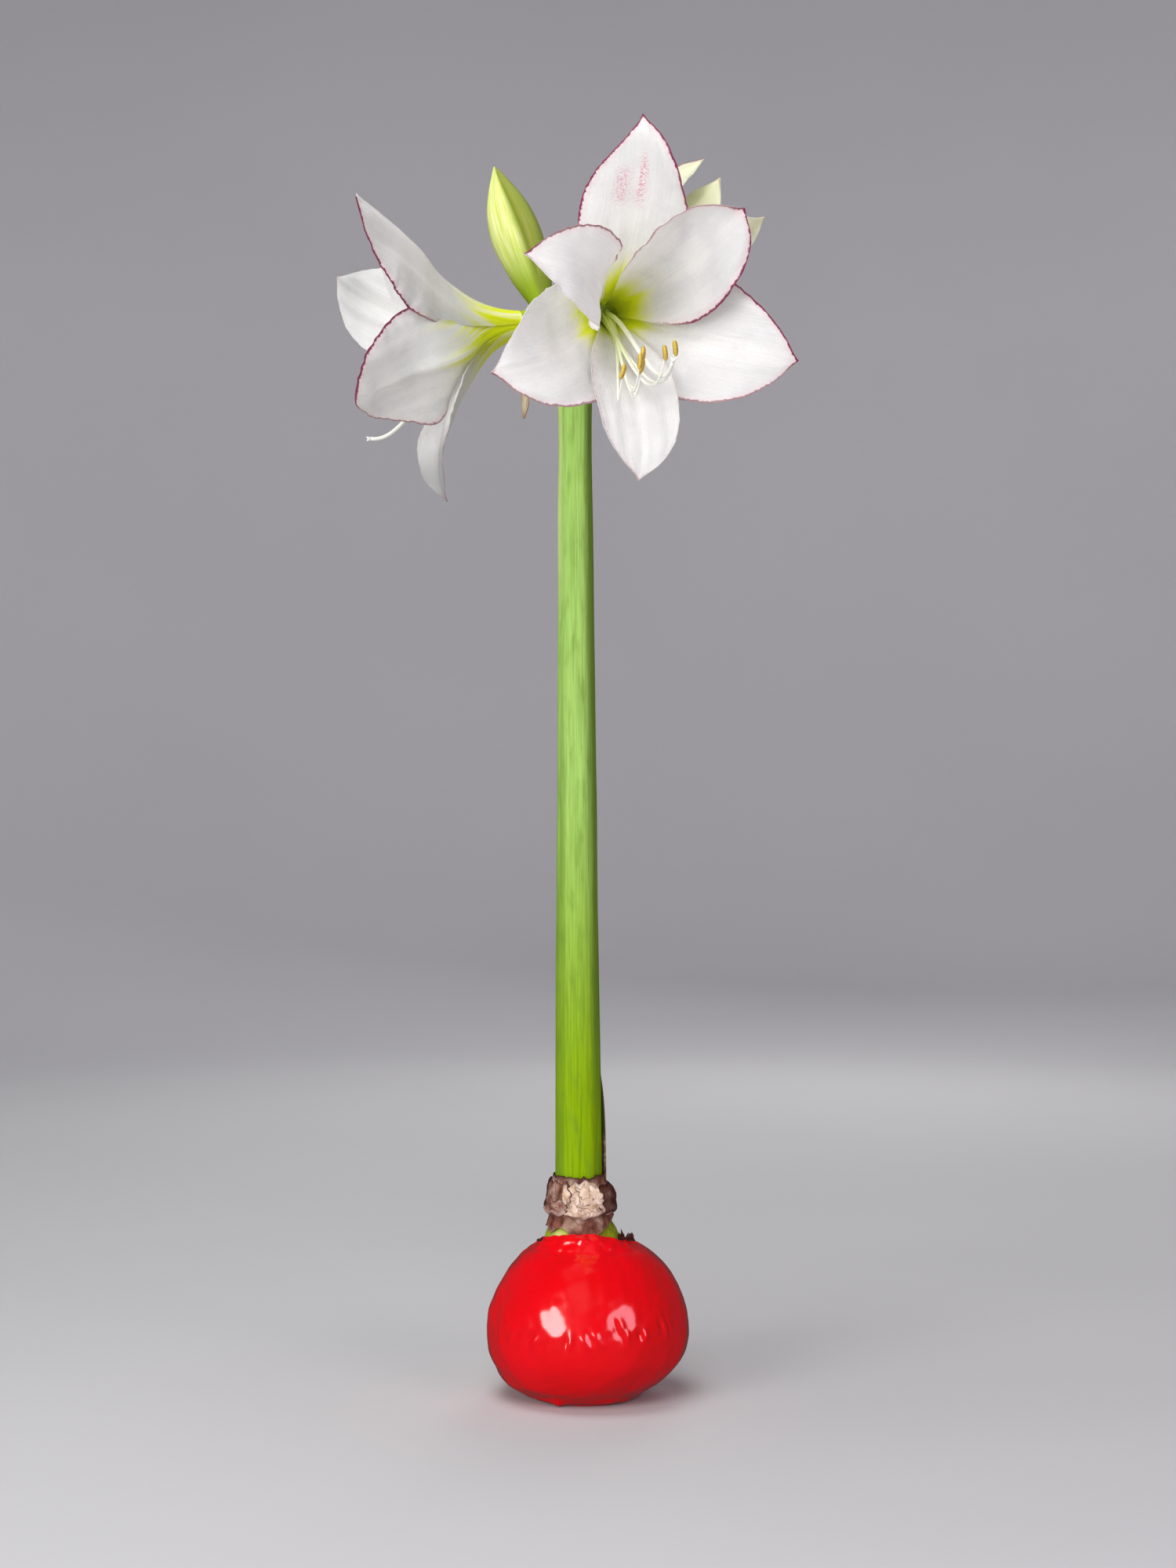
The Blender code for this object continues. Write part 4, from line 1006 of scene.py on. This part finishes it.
def tepal_grid(tepal, s, u):
    """Middle surface and normals of a tepal in its bloom's frame, s along it and u across from -1 to 1."""
    fine = shares(121)
    flare = np.radians(curve_value((0, 0.25, 0.5, 0.75, 1), (TUBE_FLARE, *tepal.flare), fine))
    sway = np.radians(curve_value((0, 0.3, 0.65, 1), (0, 0, *tepal.sway), fine))
    outward, around = compass(radians(tepal.azimuth))
    along = np.array([0, 0, 1.0])
    heading = ((np.cos(flare) * np.cos(sway))[:, None] * along
               + (np.sin(flare) * np.cos(sway))[:, None] * outward + np.sin(sway)[:, None] * around)
    midrib = travelled(heading, tepal.length) + tepal.whorl.radius * outward
    rib = np.stack([np.interp(s, fine, midrib[:, k]) for k in range(3)], -1)
    way = unit(np.stack([np.interp(s, fine, heading[:, k]) for k in range(3)], -1))
    across = unit(around - (way @ around)[:, None] * way)
    inward = np.cross(way, across)
    twist = np.radians(curve_value((0, 0.25, 1), (0, 0, tepal.twist), s))[:, None]
    across, inward = (np.cos(twist) * across + np.sin(twist) * inward,
                      np.cos(twist) * inward - np.sin(twist) * across)
    claw = tepal.whorl.claw / tepal.width
    swell = claw + (1 - claw) * np.sin(pi / 2 * np.clip(s / tepal.widest, 0, 1) ** TEPAL_RISE)
    past = np.clip((s - tepal.widest) / (1 - tepal.widest), 0, 1)
    taper = np.cos(pi / 2 * past ** tepal.fullness)
    waist = 1 - NIB_WAIST * hump((1 - s) * tepal.length, 0, NIB_LENGTH)
    half = tepal.width / 2 * np.where(s < tepal.widest, swell, taper) * waist
    claw_cup = np.degrees(tepal.whorl.claw / 2 / tepal.whorl.radius)
    cup = np.radians(curve_value((0, 0.25, 0.6, 1), (claw_cup, *tepal.cup), s))
    lean = np.radians(curve_value((0, 0.25, 0.6, 1), (0, 0, tepal.lean, tepal.lean), s))
    bow = cup[:, None] + lean[:, None] * u[None, :]
    bow = np.where(np.abs(bow) < 1e-4, 1e-4, bow)
    sideways = half[:, None] * np.sin(bow * u) / bow
    inwards = half[:, None] * (1 - np.cos(bow * u)) / bow
    grid = rib[:, None] + sideways[..., None] * across[:, None] + inwards[..., None] * inward[:, None]
    normals = -np.sin(bow * u)[..., None] * across[:, None] + np.cos(bow * u)[..., None] * inward[:, None]
    return grid, normals, half


def patch(across, along, middle, wide, height, tall):
    """One inside a patch of a tepal, fading to nought round it."""
    return hump(across, middle, wide) * hump(along, height, tall, 4)


def tepal_greens(tepal, across, along, reach):
    """How green a tepal is on its inside and on its outside, where the green reaches farther."""
    greens = []
    for face in (1.0, OUTSIDE_GREEN):
        green = np.clip((reach * face - along) / (0.65 * tepal.green[0] * face), 0, 1)
        midrib = hump(across, 0, 1.8) * smooth_step(reach * face + 14, reach * face - 12, along)
        greens.append(np.clip(green + 0.25 * midrib, 0, 1))
    return tuple(greens)


def make_tepal(bloom, tepal, seed, paint):
    places = np.linspace(0, TEPAL_TIP, TEPAL_ROWS)
    shares = np.sin(np.linspace(-pi / 2, pi / 2, TEPAL_COLUMNS))
    grid, normals, half = tepal_grid(tepal, places, shares)
    s, u, half = places[:, None], shares[None, :], half[:, None]
    along = s * tepal.length + 0 * u
    across = half * u
    margin = np.minimum(half * (1 - np.abs(u)), (1 - s) * tepal.length * 0.6)
    flat = points_at(across, along)
    grown = smooth_step(0.25, 0.55, s)
    near_tip = smooth_step(1.0, 0.86, s)
    edge_wave = points_at(along + 30 * np.sign(u), 0)
    ruffle = 0.45 * ripples(edge_wave, 13, seed) + 0.25 * ripples(edge_wave, 5, seed + 1)
    folds = 0.42 * ripples(flat * np.array([1, 0.08]), 8, seed + 2) + 0.45 * ripples(flat, 24, seed + 3)
    groove = -0.35 * hump(across, 0, 1.3) * smooth_step(0.05, 0.25, s)
    if bloom is LEFT and tepal.name == "upper":
        groove = groove + LONG_GROOVE[-1] * patch(across, along, *LONG_GROOVE[:-1])
    fold = -tepal.keel * fade(np.abs(across), KEEL_WIDTH) * smooth_step(0.15, 0.4, s)
    relief = (ruffle * np.abs(u)**4 * near_tip + folds * np.clip(margin / 4, 0, 1)) * grown
    relief = relief + (groove + fold) * near_tip
    grid = grid + relief[..., None] * normals
    frill = 0.16 * ripples(edge_wave, 3.2, seed + 4) * grown * near_tip * np.abs(u)**8
    grid = grid + (frill * np.sign(u))[..., None] * unit(np.gradient(grid, axis=1))
    normals = grid_normals(grid, normals)
    turned = bloom_frame(bloom.axis)
    grid = grid @ turned + np.array(bloom.base)
    thicker = (MIDRIB_THICKNESS - MARGIN_THICKNESS) * hump(across, 0, 4) * (1 - along / 150)
    length, bias = tepal.green
    reach = length * (1 + bias * u) + 1.5 * ripples(flat * np.array([1, 0]), 5, seed + 5)
    side = (u + 1) / 2
    rouge = tepal.rouge[0] * (1 - side) + tepal.rouge[1] * side + 0.25 * smooth_step(0.93, 1, s)
    blush = 0.0
    if tepal.name == "top":
        blush = sum(patch(across, along, *spot) for spot in BLUSHES)
    layers = {
        "tissue": points_at(across, along, seed),
        "edge": margin,
        "green": tepal_greens(tepal, across, along, reach),
        "streak": (0.0, 1.0),
        "rouge": np.clip(rouge * grown, 0, 1),
        "blush": np.clip(blush, 0, 1),
        # Cream green wash, partly own colour and partly painted shade
        "flush": bloom.flush,
        # Painted shade, greying the tepal towards its tip
        "tone": tepal.tone * smooth_step(0.5, 0.9, s),
    }
    add_sheet(f"{bloom.name}_petal_{tepal.name}", grid, normals @ turned, MARGIN_THICKNESS + thicker, paint,
              [f"{bloom.name}_tepal_{tepal.name}"], layers)


class Stamens:
    """Tubes of one colour in a bloom's own frame, gathered into one piece with one layer."""

    def __init__(self, bloom):
        self.turned = bloom_frame(bloom.axis)
        self.origin = np.array(bloom.base)
        self.shapes = []
        self.shades = []

    def add(self, line, radii, sides, shade, lobes=0.0):
        rings = tube_rings(np.asarray(line, float) @ self.turned + self.origin, radii, sides, lobes)
        self.shapes.append(lathe_shape(rings))
        self.shades.append(lathe_layer(shade, rings))

    def piece(self, name, paint, replaces, layer):
        shades = {layer: np.concatenate(self.shades)}
        add_piece(name, join_shapes(self.shapes), paint, replaces, shades)


def make_stamens(bloom, filament, anther):
    stems = Stamens(bloom)
    pods = Stamens(bloom)
    share = np.linspace(-0.5, 0.5, 19)
    widths = ANTHER_RADIUS * np.sqrt(np.clip(1 - (2 * share)**4, 0.02, 1))
    husk = np.clip(-np.cos(3 * full_turn(16)), 0, 1) * 0.7
    drop = FILAMENT_DROP * bloom.sag / FRONT.sag
    for k, tip in enumerate(bloom.anthers):
        turn = tau * (k + 0.5) / len(bloom.anthers)
        root = np.array([STAMEN_CIRCLE * cos(turn), STAMEN_CIRCLE * sin(turn), STAMEN_ROOT])
        tip = np.array(tip, float)
        line = bezier([root, root + (0, -drop, 0.45 * tip[2]), tip + (0, -bloom.sag, -0.2 * tip[2]), tip], 30)
        green = smooth_step(0.6, 0.05, shares(30))[:, None]
        stems.add(line, FILAMENT_RADIUS * np.linspace(1.5, 0.5, 30), 10, green)
        hang = unit([0.25 * cos(turn), 1.0, 0.45])
        bend = unit(np.cross(hang, (1.0, 0.2, 0.0)))
        pod = [tip + hang * ANTHER_LENGTH * x + bend * 3.2 * (x * x - 0.05) for x in share]
        pods.add(pod, widths, 16, husk, 0.14)
    tip = np.array(bloom.style, float)
    root = np.array([0, 0, STAMEN_ROOT])
    line = bezier([root, root + (0, 0, 0.5 * tip[2]), tip + (0, -0.6 * bloom.sag, -0.25 * tip[2]), tip], 36)
    green = smooth_step(0.5, 0.0, shares(36))[:, None]
    stems.add(line, STYLE_RADIUS * np.linspace(1.2, 0.85, 36), 12, green)
    end = unit(line[-1] - line[-2])
    for k in range(3):
        turn = tau * k / 3 + 0.5
        out = unit(np.cross(end, (0.2, 1, 0.1))) * cos(turn) + unit(np.cross(end, (1, 0.2, 0.1))) * sin(turn)
        lobe = [line[-1] + end * 1.6 * x + out * 1.1 * x**1.4 for x in shares(9)]
        stems.add(lobe, STIGMA_RADIUS * np.sqrt(np.linspace(1, 0.1, 9)), 8, 0.0)
    stems.add([(0, 0, height) for height, radius in BOSS], [radius for height, radius in BOSS], 24, 1.0)
    stems.piece(f"{bloom.name}_filaments", filament, [f"{bloom.name}_stamens"], "green")
    pods.piece(f"{bloom.name}_anthers", anther, (), "husk")


def stalk_line(base, axis, seat, count):
    """Middle line of a flower stalk, up off the scape's head and over to the base of the tube."""
    axis = unit(axis)
    turn = radians(seat)
    foot = np.array(SCAPE_HEAD) + (STALK_SEAT * cos(turn), STALK_SEAT * sin(turn), SCAPE_CROWN + GAP)
    start = foot + (0, 0, STALK_LIFT)
    end = np.asarray(base, float) - axis * GAP
    low = end - axis * OVARY_LENGTH
    rise = min(STALK_RISE, 0.5 * np.linalg.norm(low - start))
    line = [foot, foot + (0, 0, STALK_LIFT / 2)]
    line += bezier([start, start + (0, 0, rise), low - axis * 0.6 * rise, low], count)
    line += [low + axis * OVARY_LENGTH * share for share in shares(count)[1:]]
    return line


def make_stalk(name, base, axis, seat, paint):
    count = 20
    line = stalk_line(base, axis, seat, count)
    neck = STALK_RADIUS + (OVARY_FOOT - STALK_RADIUS) * shares(count)**4
    swell = table_value(OVARY_RADII, shares(count)[1:])
    rings = tube_rings(line, np.concatenate([[STALK_RADIUS, STALK_RADIUS], neck, swell]), STALK_SIDES, 0.03)
    run = np.arange(len(line), dtype=float)[:, None]
    layers = {"edge": 0.0, "glow": 0.0, "tissue": points_at(4 * full_turn(STALK_SIDES), run, 0.0)}
    add_lathe(name + "_skin", rings, paint, [name], layers)


def make_bud(paint):
    s = shares(110)
    line = np.stack([curve_value(BUD_PLACES, [p[k] for p in BUD_LINE], s) for k in range(3)], -1)
    rings = tube_rings(line, table_value(BUD_RADII, s), 120)
    s = s[:, None]
    turn = np.linspace(0, 360, 120, endpoint=False)[None]
    outward = unit(rings - line[:, None])
    grown = smooth_step(0.1, 0.3, s) * smooth_step(1.0, 0.93, s)
    relief = 0.25 * np.cos(np.radians(6 * turn)) * grown
    deep = 0.0
    edge = 0.0
    for seam in BUD_SEAMS:
        wander = seam + 10 * np.sin(3.0 * s) - 14 * s
        away = (turn - wander + 180) % 360 - 180
        lap = smooth_step(-3, 3, away) * fade(np.clip(away, 0, None), 26)
        relief = relief + grown * 0.9 * (lap - 0.3) - 0.5 * grown * hump(away, -3, 4)
        edge = edge + grown * hump(away, 1, 2.5)
        # Painted shade beside each seam, under the lapping edge
        deep = deep + grown * 0.7 * hump(away, -9, 9)
    rings = rings + outward * relief[..., None]
    # Painted shade on the side turned right and towards the camera
    deep = 0.4 * deep + 0.85 * smooth_step(0.3, 0.7, outward @ unit((0.75, -0.5, 0.1)))
    layers = {"edge": np.clip(0.3 * edge, 0, 1), "deep": np.clip(deep, 0, 1),
              "base": smooth_step(0.5, 0.05, s), "tissue": points_at(np.radians(turn) * 11, s * 80, 0.0)}
    add_lathe("bud_skin", rings, paint, ["bud"], layers)


def make_bract(name, azimuth, length, paint):
    s = shares(50)
    u = np.linspace(-1, 1, 27)
    outward, around = compass(radians(azimuth))
    tilt = curve_value((0, 0.3, 1), np.radians(BRACT_TILT), s)
    heading = np.sin(tilt)[:, None] * outward + np.cos(tilt)[:, None] * np.array([0, 0, 1.0])
    rib = np.array(SCAPE_HEAD) - (0, 0, BRACT_DROP) + outward * BRACT_REACH + travelled(heading, length)
    normal = np.cross(heading, around)
    half = (BRACT_WIDTH / 2 * (0.55 + 0.6 * s - 1.05 * s**3))[:, None]
    s = s[:, None]
    curl = 0.35 + 0.35 * np.sin(tau * 0.8 * s)
    grid = rib[:, None] + (half * u)[..., None] * around + (half * curl * u**2)[..., None] * normal[:, None]
    flat = points_at(half * u, s * length)
    wrinkle = 0.35 * ripples(flat * np.array([1, 0.3]), 3.5, azimuth) * smooth_step(0.05, 0.3, s)
    normals = np.broadcast_to(normal[:, None], grid.shape)
    grid = grid + wrinkle[..., None] * normals
    edge = smooth_step(0.8, 1, np.abs(u)) + smooth_step(0.85, 1, s)
    layers = {"tissue": points_at(half * u, s * length, azimuth), "edge": np.clip(edge, 0, 1)}
    add_sheet(f"bract_{name}", grid, grid_normals(grid, normals), BRACT_THICKNESS, paint,
              [f"spathe_bract_{name}"], layers)


# Studio


def make_studio():
    """A pale floor that curves up into a wall all round."""
    turn = full_turn(96)
    inner = STUDIO_RADIUS - STUDIO_CORNER
    profile = [(r, 0.0) for r in np.linspace(0, inner, 12)[1:]]
    for angle in np.linspace(0, pi / 2, 16)[1:]:
        profile.append((inner + STUDIO_CORNER * sin(angle), STUDIO_CORNER * (1 - cos(angle))))
    profile.append((STUDIO_RADIUS, STUDIO_WALL))
    rings = np.array([polar(reach, turn, height) for reach, height in profile])
    points = np.concatenate([rings.reshape(-1, 3), [[0, 0, 0]]])
    faces = grid_faces(len(rings), len(turn), turned=True, closed=True)
    faces += [[k, (k + 1) % len(turn), len(points) - 1] for k in range(len(turn))]
    mesh = bpy.data.meshes.new("studio_floor")
    mesh.from_pydata((points * MM).tolist(), [], faces)
    mesh.shade_smooth()
    floor = bpy.data.objects.new("studio_floor", mesh)
    bpy.context.scene.collection.objects.link(floor)
    mesh.materials.append(studio_paint())
    floor.visible_glossy = False


def make_lights():
    for name, (place, watts, colour) in LAMPS.items():
        lamp = bpy.data.lights.new(name, "AREA")
        lamp.shape = "ELLIPSE"
        lamp.size = LAMP_SIZE[0] * MM
        lamp.size_y = LAMP_SIZE[1] * MM
        lamp.energy = watts
        lamp.color = colour
        stand = bpy.data.objects.new(name, lamp)
        stand.location = Vector(place) * MM
        stand.rotation_euler = (Vector(LAMP_AIM) - Vector(place)).to_track_quat("-Z", "Y").to_euler()
        stand.visible_camera = False
        stand.visible_glossy = "fill" not in name
        bpy.context.scene.collection.objects.link(stand)
    world = bpy.data.worlds.new("studio_light")
    world.use_nodes = True
    sky = world.node_tree.nodes["Background"]
    sky.inputs["Color"].default_value = (*WORLD_COLOUR, 1.0)
    sky.inputs["Strength"].default_value = WORLD_STRENGTH
    bpy.context.scene.world = world
    bpy.context.scene.view_settings.view_transform = "Standard"


def make_camera():
    lens = bpy.data.cameras.new("photo_camera")
    lens.lens = CAMERA_LENS
    lens.sensor_width = CAMERA_SENSOR
    camera = bpy.data.objects.new("photo_camera", lens)
    camera.location = Vector(CAMERA_PLACE) * MM
    camera.rotation_euler = (pi / 2, 0, 0)
    bpy.context.scene.collection.objects.link(camera)
    bpy.context.scene.camera = camera


def make_plant():
    make_wax_coat()
    make_bulb()
    tunic = tunic_paint()
    for band in BANDS:
        make_band(band, tunic)
    for flake in FLAKES:
        make_flake(flake, tunic)
    make_scrap(tunic)
    make_scape()
    make_young_leaf()
    stalks = stem_paint("stalk", (0.24, 0.42, 0.03), (0.40, 0.52, 0.03), (0.14, 0.26, 0.02), (475, 500))
    petals = tepal_paint()
    filament = stamen_paint()
    anther = anther_paint()
    seed = TEPAL_SEED
    for bloom in BLOOMS:
        make_stalk(f"{bloom.name}_stalk", bloom.base, bloom.axis, bloom.seat, stalks)
        for tepal in bloom.tepals:
            make_tepal(bloom, tepal, seed, petals)
            seed += TEPAL_SEED_STEP
        make_stamens(bloom, filament, anther)
    low, high = (np.array(p) for p in BUD_LINE[:2])
    make_stalk("bud_stalk", low, high - low, BUD_SEAT, stalks)
    make_bud(bud_paint())
    bracts = bract_paint()
    for name, azimuth, length in BRACTS:
        make_bract(name, azimuth, length, bracts)


make_plant()
make_studio()
make_lights()
make_camera()
